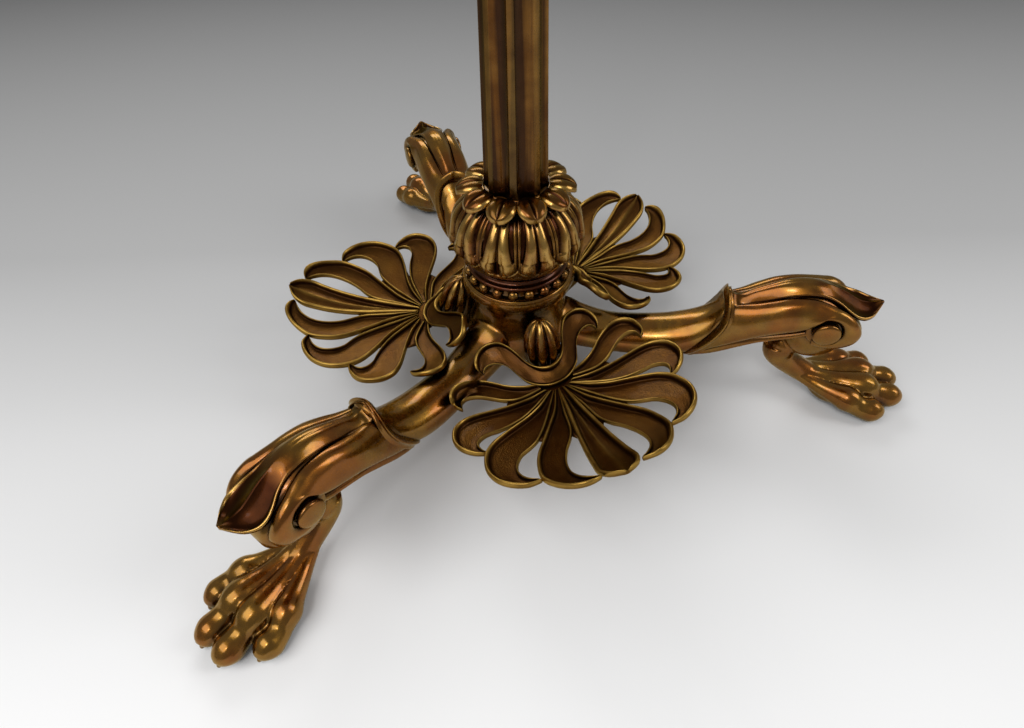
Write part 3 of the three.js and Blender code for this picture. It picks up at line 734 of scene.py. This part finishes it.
def limb(name, stations, sides=16):
    """A round limb through places r, y, z with a radius at each."""
    rows = flow(stations, 6 * len(stations), 3)
    places = [Vector(row[:3]) for row in rows]
    rings = []
    for i, place in enumerate(places):
        along = (places[min(i + 1, len(places) - 1)] - places[max(i - 1, 0)]).normalized()
        side = along.cross(Vector((0, 0, 1))).normalized()
        up = side.cross(along)
        radius = rows[i][3]
        ring = []
        for k in range(sides):
            angle = 2 * math.pi * k / sides
            ring.append(place + side * radius * math.cos(angle) + up * radius * math.sin(angle))
        rings.append(ring)
    return skin(name, rings)


def lump(name, place, radii, tilt=0):
    deselect()
    bpy.ops.mesh.primitive_uv_sphere_add(segments=32, ring_count=20, radius=1)
    piece = bpy.context.object
    piece.name = name
    size = Matrix.Diagonal((*radii, 1))
    piece.data.transform(Matrix.Translation(place) @ Matrix.Rotation(math.radians(tilt), 4, "Y") @ size)
    return piece


def make_paws():
    pieces = [
        lump("thigh", (185, 0, 52), (18.5, 13.6, 16), tilt=6),
        lump("hock", (171, 0, 39), (9, 9, 11)),
        lump("pad", (212, 0, 8.6), (17, 18, 8.6)),
        lump("back", (208, 0, 11.4), (18, 12.5, 7.6), tilt=14),
        lump("knuckles", (219, 0, 9.4), (12, 19, 8)),
        limb("shank", SHANK),
    ]
    for sign in (1, -1):
        for name, toe in (("middle_toe", MIDDLE_TOE), ("outer_toe", OUTER_TOE)):
            pieces.append(limb(name, [(r, sign * y, z, radius) for r, y, z, radius in toe]))
    paw = join("paw", pieces)
    fuse(paw, voxel=0.7, rounds=5)
    claws = []
    for tip, y in TOE_TIPS:
        claws.append(limb("claw", [(tip + r, y, z, radius) for r, z, radius in CLAW], sides=10))
    whole = join("paw", [paw] + claws)
    for vertex in whole.data.vertices:
        vertex.co.z = max(vertex.co.z, 0.0)
    for leg, azimuth in LEGS.items():
        cast(whole, f"paw_casting_{leg}", "aged_bronze", [f"paw_{leg}"], azimuth)
    discard(whole)


# Palmettes
# Petals on one side, from the middle one back to the band: strong edge and weak edge, x and y
PETALS = [
    (
        [(68, 3.5), (82, 10), (92, 17), (104, 26), (113, 32), (122, 35), (131, 36), (139, 33),
         (146, 28), (150.5, 21.5), (151, 15), (148.5, 10)],
        [(68, 1.5), (87, 5), (101, 7.4), (108.5, 10.8), (115.6, 15.8), (124.4, 19.6), (133, 20.8),
         (140, 18.8), (145, 14.6), (147.6, 11)],
    ),
    (
        [(67, 6), (76, 17), (82, 27), (86, 37), (89, 44), (93, 51), (98.5, 56), (106, 58.7),
         (114, 59.3), (122.5, 56.5), (129, 51), (133, 44), (133, 39.3), (131.8, 35)],
        [(68, 4), (80, 11.2), (92.4, 19.4), (100.8, 26.4), (104.6, 31.8), (107.8, 38.2), (113.6, 42.6),
         (120, 44), (126, 41.8), (130.8, 36.6)],
    ),
    (
        [(65, 8.5), (67.5, 20), (68, 32), (67.3, 44), (67, 53), (68.5, 60.5), (73, 66.3), (79, 69),
         (86, 69.5), (92, 67), (96.5, 62.2), (98.6, 57.5), (98.5, 54.5)],
        [(67, 6.5), (74.6, 16.6), (80.6, 26.8), (83.6, 35.6), (84.8, 43), (85, 50.4), (87.6, 55.6),
         (91.4, 57.2), (95, 56.4), (97.8, 54.8)],
    ),
    (
        [(59, 12), (57, 18), (54.5, 24), (50.5, 30), (45, 36), (41, 42), (38.7, 49), (39.7, 55.3),
         (44.5, 60), (51, 61.8), (57, 61), (59.8, 57.8)],
        [(63, 10), (64.6, 18), (65, 26), (62.6, 33), (58.4, 39), (54, 45.4), (52.2, 51.6), (54, 56),
         (59, 57.5)],
    ),
]
# Where the web between two petals ends: share along the one edge and along its neighbour's
WEBS = [(0.44, 0.44), (0.37, 0.49), (0.31, 0.45), (0.27, 0.41)]
MIDDLE_PETAL = [
    (68, 2), (82, 4), (102, 6.8), (122, 9.3), (137, 10.8), (144, 11.2), (150, 8.5), (153, 4.5), (154.8, 1),
]
# The band stands up round the bud: its upper and lower edge x, y, z from the middle to the hook
BAND_UPPER = [
    (54.7, 0, 54.3), (53, 5.6, 54.6), (49.6, 9.8, 56.2), (44, 13, 58.5), (39, 15.2, 61.2),
    (34.5, 18, 64), (31, 21.8, 66.4), (29.8, 26.3, 67.5), (29, 31.5, 66.7), (29.5, 36.5, 64.1),
    (32.6, 39.8, 61.2), (36.5, 40.6, 58), (41, 38.4, 55.3),
]
BAND_LOWER = [
    (65, 0, 47.3), (64.2, 5.5, 47.4), (60.8, 11.4, 47.8), (56.8, 16.5, 50), (51.6, 19.2, 52.4),
    (46.3, 21.7, 55.2), (43, 24.7, 57.4), (40.5, 28.7, 58.6), (39, 33.2, 58.2), (39.6, 36.4, 56.8),
    (41.6, 37.6, 55),
]
# Across a petal: distance from the edge, height over the plate, share of rim (above 0 a worn rim with painted
# highlight, below 0 painted shade in the groove beside it)
STRONG_RIM = [
    (0.7, -3.2, 0), (0.1, -2.2, 0.1), (-0.15, -0.9, 0.5), (0.05, 0.4, 0.9), (0.6, 1.3, 1),
    (1.3, 1.65, 1), (2, 1.3, 0.9), (2.5, 0.3, 0.3), (2.75, -1, -0.8), (3.2, -2, -0.7), (4, -1.9, 0),
]
WEAK_RIM = [
    (3, -1.9, 0), (2.3, -2, -0.6), (2, -1.4, -0.6), (1.75, -0.3, 0.3), (1.3, 0.5, 0.9), (0.8, 0.7, 1),
    (0.25, 0.3, 0.8), (-0.05, -0.6, 0.4), (0.1, -2, 0.1), (0.7, -3.2, 0),
]
# Between the rims: share of the width, height, share of rim
FIELD = [(0.46, -2.2, 0), (0.6, -2.2, 0)]
MIDRIB = [(0.28, -2.1, 0), (0.4, -1.7, 0), (0.5, -0.9, 0.35), (0.6, -1.7, 0), (0.72, -2.1, 0)]
# Width under which a petal's rims get smaller, height at which its underside begins, rings along it
FULL_WIDTH = 9
UNDERSIDE = -3
PETAL_RINGS = 48
# Where the petals meet
HEART = Vector((65, 0, 46.3))
# How each palmette sits: degrees, shift from its place, and the way it leans as it rises over an arm
SEATS = {
    "front": {"turn": -2.1, "pitch": 11.2, "roll": 8.2, "shift": (3.6, -2.4, 4), "lean": (0.85, -0.3)},
    "right": {"turn": 3.3, "pitch": -3.6, "roll": 0.5, "shift": (-2.3, -4.2, 0), "lean": (-0.3, -0.3)},
    "left": {"turn": 0.5, "pitch": -1.7, "roll": -2.1, "shift": (-1.6, 3.8, 0.5), "lean": (-0.3, 0.6)},
}
# The arm beside a palmette: its direction, the room beside and over it, and the roundness of its back
NEAREST_ARM = (0.5, 0.866)
ROOM_BESIDE = 2.6
ROOM_OVER = 4.6
ARM_BACK = 11
SOFT_RISE = 2


def plate_height(x, y):
    """Height of the palmette's dished plate, drawn level."""
    out = x - HEART.x
    curl = 0.049 * out - 0.00237 * out ** 2 + 0.0000444 * out ** 3 if out > 0 else -0.12 * out
    return HEART.z + curl + 0.00165 * y ** 2


def arm_rise(place):
    """How far a point must rise for the plate to pass over the arm beside the palmette."""
    out, sideways = NEAREST_ARM
    along = place.x * out + abs(place.y) * sideways
    across = abs(place.y) * out - place.x * sideways
    station = next((k for k in range(1, len(ARM)) if ARM[k][0] > along), None)
    if station is None:
        return 0.0
    before, after = ARM[station - 1], ARM[station]
    share = (along - before[0]) / (after[0] - before[0])
    half = lerp(before[4], after[4], share) + ROOM_BESIDE
    if abs(across) > half:
        return 0.0
    fall = 1 - math.sqrt(1 - (across / half) ** 2)
    need = lerp(before[1], after[1], share) - ARM_BACK * fall - ARM_BACK * fall ** 4 + ROOM_OVER - place.z
    return (need + math.hypot(need, SOFT_RISE)) / 2


def seated(place, height, seat):
    """A point of the palmette, drawn level and so high over its plate, as it stands beside the arms."""
    turn = (
        Matrix.Rotation(math.radians(seat["turn"]), 3, "Z")
        @ Matrix.Rotation(math.radians(-seat["pitch"]), 3, "Y")
        @ Matrix.Rotation(math.radians(seat["roll"]), 3, "X")
    )
    place = turn @ (place - HEART) + HEART + Vector(seat["shift"])
    rise = arm_rise(place - Vector((0, 0, height)))
    return place + Vector((*seat["lean"], 1)) * rise


def relief(a, b, normal, near, far, field):
    """One ring across a petal from edge to edge, with the share of rim and the height at each point."""
    width = max((b - a).length, 0.01)
    across = (b - a) / width
    scale = min(1.0, width / FULL_WIDTH)
    ring, rims, heights = [], [], []

    def add(distance, height, rim):
        raised = height * (0.3 + 0.7 * scale) if height > UNDERSIDE else height
        ring.append(a + across * distance + normal * raised)
        rims.append(rim)
        heights.append(raised)

    for distance, height, rim in near:
        add(distance * scale, height, rim)
    for share, height, rim in field:
        add(share * width, height, rim)
    for distance, height, rim in far:
        add(width - distance * scale, height, rim)
    return ring, rims, heights


def petal(name, strong, weak, count, near=STRONG_RIM, far=WEAK_RIM, field=FIELD):
    """A flat petal between two edges, dished with the plate."""
    rings, rims, heights = [], [], []
    for a, b in zip(flow(strong, count), flow(weak, count)):
        ring, rim, height = relief(Vector((*a, 0)), Vector((*b, 0)), Vector((0, 0, 1)), near, far, field)
        for place in ring:
            place.z += plate_height(place.x, place.y)
        rings.append(ring)
        rims.append(rim)
        heights.append(height)
    piece = skin(name, rings, rims, heights=heights)
    subdivide(piece)
    return piece


def standing_band():
    """The band round the bud, which stands up towards the hub."""
    count = 100
    rows = []
    for edge in (BAND_UPPER, BAND_LOWER):
        whole = [(x, -y, z) for x, y, z in edge[:0:-1]] + edge
        rows.append([Vector(place) for place in flow(whole, count, 3)])
    rings, rims, heights = [], [], []
    for i, (upper, lower) in enumerate(zip(*rows)):
        before, after = max(i - 1, 0), min(i + 1, count - 1)
        along = rows[0][after] + rows[1][after] - rows[0][before] - rows[1][before]
        normal = along.cross(lower - upper).normalized()
        if normal.z < 0:
            normal = -normal
        ring, rim, height = relief(upper, lower, normal, STRONG_RIM, WEAK_RIM, FIELD)
        rings.append(ring)
        rims.append(rim)
        heights.append(height)
    piece = skin("band", rings, rims, heights=heights)
    subdivide(piece)
    return piece


def web(edge, share, other, other_share):
    """Thin metal between two neighbouring petals, from the heart to the start of their opening."""
    overlap, drop, thickness = 1.6, 1, 1.4
    one = flow(edge, PETAL_RINGS)
    two = flow(other, PETAL_RINGS)
    last = PETAL_RINGS - 1
    count = 14
    rings = []
    for k in range(count):
        a = Vector(one[round(k / (count - 1) * share * last)])
        b = Vector(two[round(k / (count - 1) * other_share * last)])
        wide = (b - a).normalized() * overlap
        ring = [a - wide, (a + b) / 2, b + wide]
        top = [(x, y, plate_height(x, y) - drop) for x, y in ring]
        rings.append(top + [(x, y, z - thickness) for x, y, z in reversed(top)])
    # Painted shade on the web, sunk between two petals
    return skin("web", rings, [[-0.3] * 6] * count)


def make_palmettes():
    pieces = [standing_band(), lump("heart", (67.5, 0, 43.9), (14, 19, 2))]
    strong_edges = [MIDDLE_PETAL] + [strong for strong, _ in PETALS]
    weak_edges = [weak for _, weak in PETALS]
    for (share, other_share), strong, weak in zip(WEBS, strong_edges, weak_edges):
        one = web(strong, share, weak, other_share)
        pieces += [one, mirror_copy(one)]
    for strong, weak in PETALS:
        one = petal("petal", strong, weak, PETAL_RINGS)
        pieces += [one, mirror_copy(one)]
    other_edge = [(x, -y) for x, y in MIDDLE_PETAL]
    pieces.append(petal("middle_petal", MIDDLE_PETAL, other_edge, 40, far=STRONG_RIM[::-1], field=MIDRIB))
    whole = join("palmette", pieces)
    for side, azimuth in PALMETTES.items():
        one = duplicate(whole)
        heights = one.data.attributes["height"].data
        for vertex, height in zip(one.data.vertices, heights):
            vertex.co = seated(vertex.co, height.value, SEATS[side])
        cast(one, f"palmette_casting_{side}", "dark_bronze", [f"palmette_{side}"], azimuth)
        discard(one)
    discard(whole)


# Ribbed buds
BUD = {"x": 45.2, "foot": 42.7, "lean": -14, "ribs": 8, "groove": 0.3, "follow": 0.8}
# Bud: radius, height over its foot
BUD_PROFILE = [
    (0.6, 0), (5, 0), (9, 6), (11, 14), (10.7, 22), (8.8, 29), (6, 33.6), (3.4, 35.6), (0.6, 36.2),
]


def make_buds():
    segments = 160
    rings, rims = [], []
    for radius, z in flow(BUD_PROFILE, 36):
        ring, rim = [], []
        for angle in turns_of(segments):
            wave = abs(math.sin(BUD["ribs"] * angle / 2))
            r = radius * (1 - BUD["groove"] * (1 - wave) ** 1.5)
            ring.append((r * math.cos(angle), r * math.sin(angle), z))
            # Worn rib crests brightened with a painted highlight
            rim.append(max(0.0, wave - 0.8) * 3)
        rings.append(ring)
        rims.append(rim)
    bud = skin("bud", rings, rims)
    bud.data.transform(Matrix.Rotation(math.radians(BUD["lean"]), 4, "Y"))
    for side, azimuth in PALMETTES.items():
        x, y, _ = SEATS[side]["shift"]
        one = duplicate(bud)
        one.data.transform(Matrix.Translation((BUD["x"] + BUD["follow"] * x, y, BUD["foot"])))
        cast(one, f"ribbed_bud_{side}", "aged_bronze", [f"bud_{side}"], azimuth)
        discard(one)
    discard(bud)


# Turned rings under the knop: radius and height; all have the tie rod's bore
BORE = 4.4
DRUM = [
    (BORE, 78.3), (32.2, 78.3), (33.6, 78.8), (34.1, 79.9), (34.1, 83.8), (33.7, 84.7), (33, 85),
    (32.9, 85.6), (32.2, 86.3), (BORE, 86.3), (BORE, 78.3),
]
BEAD_BED = [
    (BORE, 86.6), (31.6, 86.6), (31.6, 87), (30.6, 87.3), (28.9, 87.8), (28.4, 89.4), (28.4, 92.2),
    (BORE, 92.2), (BORE, 86.6),
]
BEADS = {"count": 20, "circle": 29.7, "height": 89.6, "radius": 3.1}
CAVETTO = [(30.5, 93.4), (30.2, 94.4), (28, 95.4), (27, 96.8), (27.4, 98.4), (29.2, 99.3), (29.7, 99.8)]


def make_rings():
    collar = turned_ring("drum", DRUM)
    cast(collar, "collar_drum", "aged_bronze", ["drum_collar"], crease=40)
    discard(collar)
    pieces = [turned_ring("bead_bed", BEAD_BED)]
    reach = BEADS["circle"]
    for k in range(BEADS["count"]):
        angle = 2 * math.pi * (k + 0.5) / BEADS["count"]
        place = (reach * math.cos(angle), reach * math.sin(angle), BEADS["height"])
        pieces.append(lump("bead", place, [BEADS["radius"]] * 3))
    beads = join("beads", pieces)
    cast(beads, "beaded_ring", "aged_bronze", ["bead_ring"], crease=50)
    discard(beads)
    profile = [(BORE, 92.6), (30.3, 92.6), *flow(CAVETTO, 18), (BORE, 100), (BORE, 92.6)]
    ring = turned_ring("hollow_ring", profile)
    # The hollow ring under the knop takes the darker bronze, painted with shade
    cast(ring, "cavetto_moulding", "dark_bronze", ["cavetto_ring"], crease=50, finish=under_knop_shaded_bronze)
    discard(ring)


# Lobed knop
LEAVES = 10
LEAF_PHASE = 14.4
KNOP_FOOT = 100.3
KNOP_TOP = 139.4
KNOP_CORE = [
    (24, KNOP_FOOT), (28.4, 101), (31.8, 103.2), (34, 106.4), (35.3, 110.6), (35.6, 116), (34.2, 126),
    (30.6, 133), (25.5, 138), (21, KNOP_TOP),
]
# Rib of the knop: z, half width, height over the core
RIB_FOOT = 107.8
KNOP_RIB = [
    (RIB_FOOT, 0.1, 0.1), (109.8, 3.4, 2.2), (112.6, 4.7, 3.6), (116, 4.8, 3.6), (120.6, 4.1, 3.2),
    (127, 3.3, 2.8), (134, 2.6, 2.2), (139, 2.2, 1.5),
]
# Heights from which the two ribs of a pair touch, and from which threads run between the pairs
PAIR_MEETS = 118
THREAD_FOOT = 111
# How far the scallops of the cup rise between the pairs, and how far the cup stands out
CUP_SCALLOP = 5
CUP_HEIGHT = 0.8


def domed(distance, half):
    """Share of height across a round rib."""
    return math.sqrt(max(0.0, 1 - (distance / half) ** 2)) if half > 0 else 0.0


def knop_point(radius, z, rib, turns):
    """Radius and share of rim at a place on the knop, worn and painted with a highlight on the rib crests and
    painted with shade in the grooves; turns run from -0.5 to 0.5 across a pair of ribs.
    """
    _, half, height = rib
    wide = 2 * math.pi * radius / LEAVES
    middle = half + 0.7 if z < PAIR_MEETS else max(half * 0.93 + 0.2, 0.1)
    raised = height * domed(abs(turns) * wide - middle, half)
    wear_highlight_and_shade = 1.8 * min(1.0, raised / max(height, 0.1)) ** 2 * min(1.0, height) - 1
    gap = (0.5 - abs(turns)) * wide
    if z > THREAD_FOOT:
        thread = 1.2 * min(1.0, (z - THREAD_FOOT) / 3) * domed(gap - 1.1, 1.0)
        if thread > raised:
            raised, wear_highlight_and_shade = thread, -0.3
    cup = RIB_FOOT + CUP_SCALLOP * max(0.0, 1 - gap / 6) ** 1.5
    if z < cup and raised < CUP_HEIGHT:
        raised, wear_highlight_and_shade = CUP_HEIGHT, 0.8 if z > cup - 1.2 else -0.1
    return radius + raised, wear_highlight_and_shade


def around(piece, angle):
    """A copy turned about the column by so many degrees."""
    other = duplicate(piece)
    other.data.transform(Matrix.Rotation(math.radians(angle), 4, "Z"))
    return other


def circle(radius, z, segments):
    return [(radius * math.cos(angle), radius * math.sin(angle), z) for angle in turns_of(segments)]


def make_knop():
    segments = 640
    rings = [circle(BORE, KNOP_FOOT, segments)]
    rims = [[0] * segments]
    ribs = flow(KNOP_RIB, 200, 1)
    for radius, z in flow(KNOP_CORE, 84):
        rib = min(ribs, key=lambda row: abs(row[0] - z)) if z > RIB_FOOT else (z, 0, 0)
        ring, rim = [], []
        for angle in turns_of(segments):
            share = (math.degrees(angle) - LEAF_PHASE) * LEAVES / 360
            r, wear_highlight_and_shade = knop_point(radius, z, rib, share - round(share))
            ring.append((r * math.cos(angle), r * math.sin(angle), z))
            rim.append(wear_highlight_and_shade)
        rings.append(ring)
        rims.append(rim)
    rings.append(circle(BORE, KNOP_TOP, segments))
    rims.append([0] * segments)
    knop = skin("knop", rings, rims, loop=True)
    cast(knop, "lobed_ball", "aged_bronze", ["lobed_knop"], crease=60)
    discard(knop)


# Leaf collar round the column's foot
# Leaf: radius, half width, height, depth of the crease, height of the lobes
LEAF = [
    (18.2, 5.6, 146.2, 0.1, 0.2), (21, 7, 146.9, 0.5, 0.4), (24, 7.8, 147, 0.8, 0.5),
    (27, 7.9, 146.4, 0.9, 0.6), (29.6, 7, 145.4, 0.8, 0.6), (31.6, 5.4, 144.2, 0.5, 0.5),
    (32.9, 3.3, 143.2, 0.2, 0.3), (33.4, 0.8, 142.8, 0, 0),
]
COLLAR_LIP = [
    (18, 144.2), (19.6, 144.2), (19.6, 145.2), (19.2, 145.8), (18.5, 146), (18, 145.8), (18, 144.2),
]
COLLAR_CORE = [(BORE, 139.8), (22, 139.8), (24.5, 142), (22, 144.8), (BORE, 144.8), (BORE, 139.8)]


def make_leaf_collar():
    steps = 28
    droop, middle_thickness, edge_thickness = 1.8, 2.2, 0.9
    rings, rims = [], []
    for radius, half, z, crease, lobe in flow(LEAF, 34, 1):
        top, under, wear_highlight_and_shade = [], [], []
        for k in range(steps + 1):
            v = 2 * k / steps - 1
            side = abs(v)
            height = z + lobe * math.sin(math.pi * side ** 0.8)
            height -= crease * math.exp(-(side / 0.11) ** 2)
            height -= droop * side ** 6
            place = (radius, v * half)
            top.append((*place, height))
            under.append((*place, height - lerp(middle_thickness, edge_thickness, side ** 3)))
            # Worn leaf edges with painted highlight, painted shade in the middle crease, the rest of the leaf
            # darker
            wear_highlight_and_shade.append(0.8 if side > 0.84 else -1 if side < 0.12 else -0.5)
        rings.append(top + under[::-1])
        rims.append(wear_highlight_and_shade + [0] * len(under))
    leaf = skin("leaf", rings, rims)
    pieces = [around(leaf, LEAF_PHASE + k * 360 / LEAVES) for k in range(LEAVES)]
    discard(leaf)
    pieces += [turned_ring("lip", COLLAR_LIP), turned_ring("collar_core", COLLAR_CORE)]
    collar = join("leaf_collar_casting", pieces)
    cast(collar, "drooping_leaves", "aged_bronze", ["leaf_collar"], crease=60)
    discard(collar)


# Column, capital and top plate
FLUTES = 8
FLUTE_PHASE = 18.4
FILLET = 14
FILLET_CORNER = 1.2
FLUTE_EDGE = 0.03
FLUTE_DEPTH = 0.12
FLUTE_END = 560
FLUTE_RUNOUT = 8
COLUMN_FOOT = 144.3
COLUMN_TOP = 575


def column_radius(z):
    """The column tapers quickly above its foot and slowly towards its top."""
    return 11.1 + 6.6 * math.exp(-(z - 144) / 247)


def make_column():
    pitch = 360 / FLUTES
    steps = 12
    outline = []
    for k in range(FLUTES):
        start = FLUTE_PHASE + pitch * k - FILLET / 2
        outline += [(start + FILLET_CORNER, 0), (start + FILLET / 2, 0), (start + FILLET - FILLET_CORNER, 0)]
        for step in range(steps + 1):
            share = step / steps
            depth = FLUTE_EDGE + FLUTE_DEPTH * math.sin(math.pi * share) ** 0.8
            outline.append((start + FILLET + (pitch - FILLET) * share, depth))
    plain = FLUTE_END + FLUTE_RUNOUT
    levels = [COLUMN_FOOT, 144.8, *range(150, 550, 20), 552, FLUTE_END, 564, plain, 574.5, COLUMN_TOP]
    rings = []
    # Painted shade in the flutes; worn fillets brightened with a painted highlight
    rims = [[-1.5 * depth if depth else 0.2 for _, depth in outline]] * len(levels)
    for z in levels:
        fade = min(1.0, max(0.0, (plain - z) / FLUTE_RUNOUT))
        ring = []
        for angle, depth in outline:
            radius = column_radius(z) * (1 - depth * fade)
            ring.append((radius * math.cos(math.radians(angle)), radius * math.sin(math.radians(angle)), z))
        rings.append(ring)
    shaft = skin("shaft", rings, rims)
    cast(shaft, "fluted_column", "aged_bronze", ["column_shaft"], crease=35, finish=column_bronze)
    discard(shaft)


CAPITAL_NECK = [(BORE, 575.3), (12.6, 575.3), (14.2, 576.2), (14.5, 577.8), (14, 579.4), (12.6, 580.2)]
CAPITAL_BELL = [(12, 580.6), (12, 584), (13, 595), (17, 606), (22.4, 613), (23.6, 616.4), (23, 620)]
CAPITAL_CLOSE = [(22, 621.8), (BORE, 621.8), (BORE, 575.3)]
TOP_PLATE = [
    (BORE, 622.3), (20, 622.3), (21, 624.5), (23, 628), (25.8, 630.6), (27.2, 632), (27.6, 634.4),
    (27.4, 637.6), (26.6, 639.4), (25.6, 640), (11, 640), (10, 639.2), (10, 631), (BORE, 631),
    (BORE, 622.3),
]


def make_top():
    capital = turned_ring("bell", CAPITAL_NECK + flow(CAPITAL_BELL, 26) + CAPITAL_CLOSE)
    cast(capital, "bell_capital", "aged_bronze", ["capital"], crease=50)
    discard(capital)
    plate = turned_ring("plate", TOP_PLATE)
    cast(plate, "round_top_plate", "aged_bronze", ["top_plate"], crease=50)
    discard(plate)


make_spider()
make_knees()
make_buttons()
make_paws()
make_palmettes()
make_buds()
make_rings()
make_knop()
make_leaf_collar()
make_column()
make_top()


# Floor, light and camera
# The floor's grey along the camera's direction, from near to far, in metres; the greys paint the fall-off of
# light, bright near the camera and dark far away
FLOOR_NEAR = -0.3
FLOOR_FAR = 1.0
FLOOR_PAINTED_FALLOFF = [(0.0, 0.95), (0.3, 0.44), (1.0, 0.085)]
# Lamps: name, place, height that they aim at, size, power
LAMPS = [
    ("key_box", (-0.9, -0.4, 1.3), 0.08, (1.4, 1.1), 13.5),
    ("spark_box", (-0.5, -0.75, 1.2), 0.08, (0.26, 0.2), 2.1),
    ("fill_box", (1.1, -0.6, 0.9), 0.08, (0.5, 0.9), 6),
    ("back_box", (0.2, 1.3, 1.0), 0.1, (1.2, 0.4), 7),
]
SKY_GREY = 0.56
SKY_STRENGTH = 0.55


def set_stage():
    bpy.ops.mesh.primitive_plane_add(size=8, location=(0, 0, 0))
    floor = bpy.context.object
    floor.name = "studio_floor"
    material, nodes, links, shader = new_material("pale_floor")
    place = nodes.new("ShaderNodeTexCoord").outputs["Object"]
    turn = nodes.new("ShaderNodeMapping")
    turn.inputs["Rotation"].default_value = (0, 0, math.radians(-TURN))
    links.new(place, turn.inputs["Vector"])
    split = nodes.new("ShaderNodeSeparateXYZ")
    links.new(turn.outputs["Vector"], split.inputs["Vector"])
    # Floor colour goes from near-white near the camera to near-black far away: painted light fall-off
    depth = span(nodes, links, split.outputs["Y"], FLOOR_NEAR, FLOOR_FAR, 0.0, 1.0)
    stops = [(place, (grey, grey, grey)) for place, grey in FLOOR_PAINTED_FALLOFF]
    links.new(ramp(nodes, links, depth, stops), shader.inputs["Base Color"])
    shader.inputs["Roughness"].default_value = 0.7
    shader.inputs["Specular IOR Level"].default_value = 0.2
    floor.data.materials.append(material)


def soft_box(name, place, aim_height, size, power):
    data = bpy.data.lights.new(name, "AREA")
    data.shape = "RECTANGLE"
    data.size, data.size_y = size
    data.energy = power
    lamp = bpy.data.objects.new(name, data)
    bpy.context.scene.collection.objects.link(lamp)
    lamp.location = place
    sight = Vector((0, 0, aim_height)) - Vector(place)
    lamp.rotation_euler = sight.to_track_quat("-Z", "Y").to_euler()


def set_light():
    world = bpy.data.worlds.new("studio")
    bpy.context.scene.world = world
    world.use_nodes = True
    sky = world.node_tree.nodes["Background"]
    sky.inputs["Color"].default_value = (SKY_GREY, SKY_GREY, SKY_GREY, 1)
    sky.inputs["Strength"].default_value = SKY_STRENGTH
    for lamp in LAMPS:
        soft_box(*lamp)


set_stage()
set_light()
set_camera()
bpy.context.scene.view_settings.view_transform = "Standard"
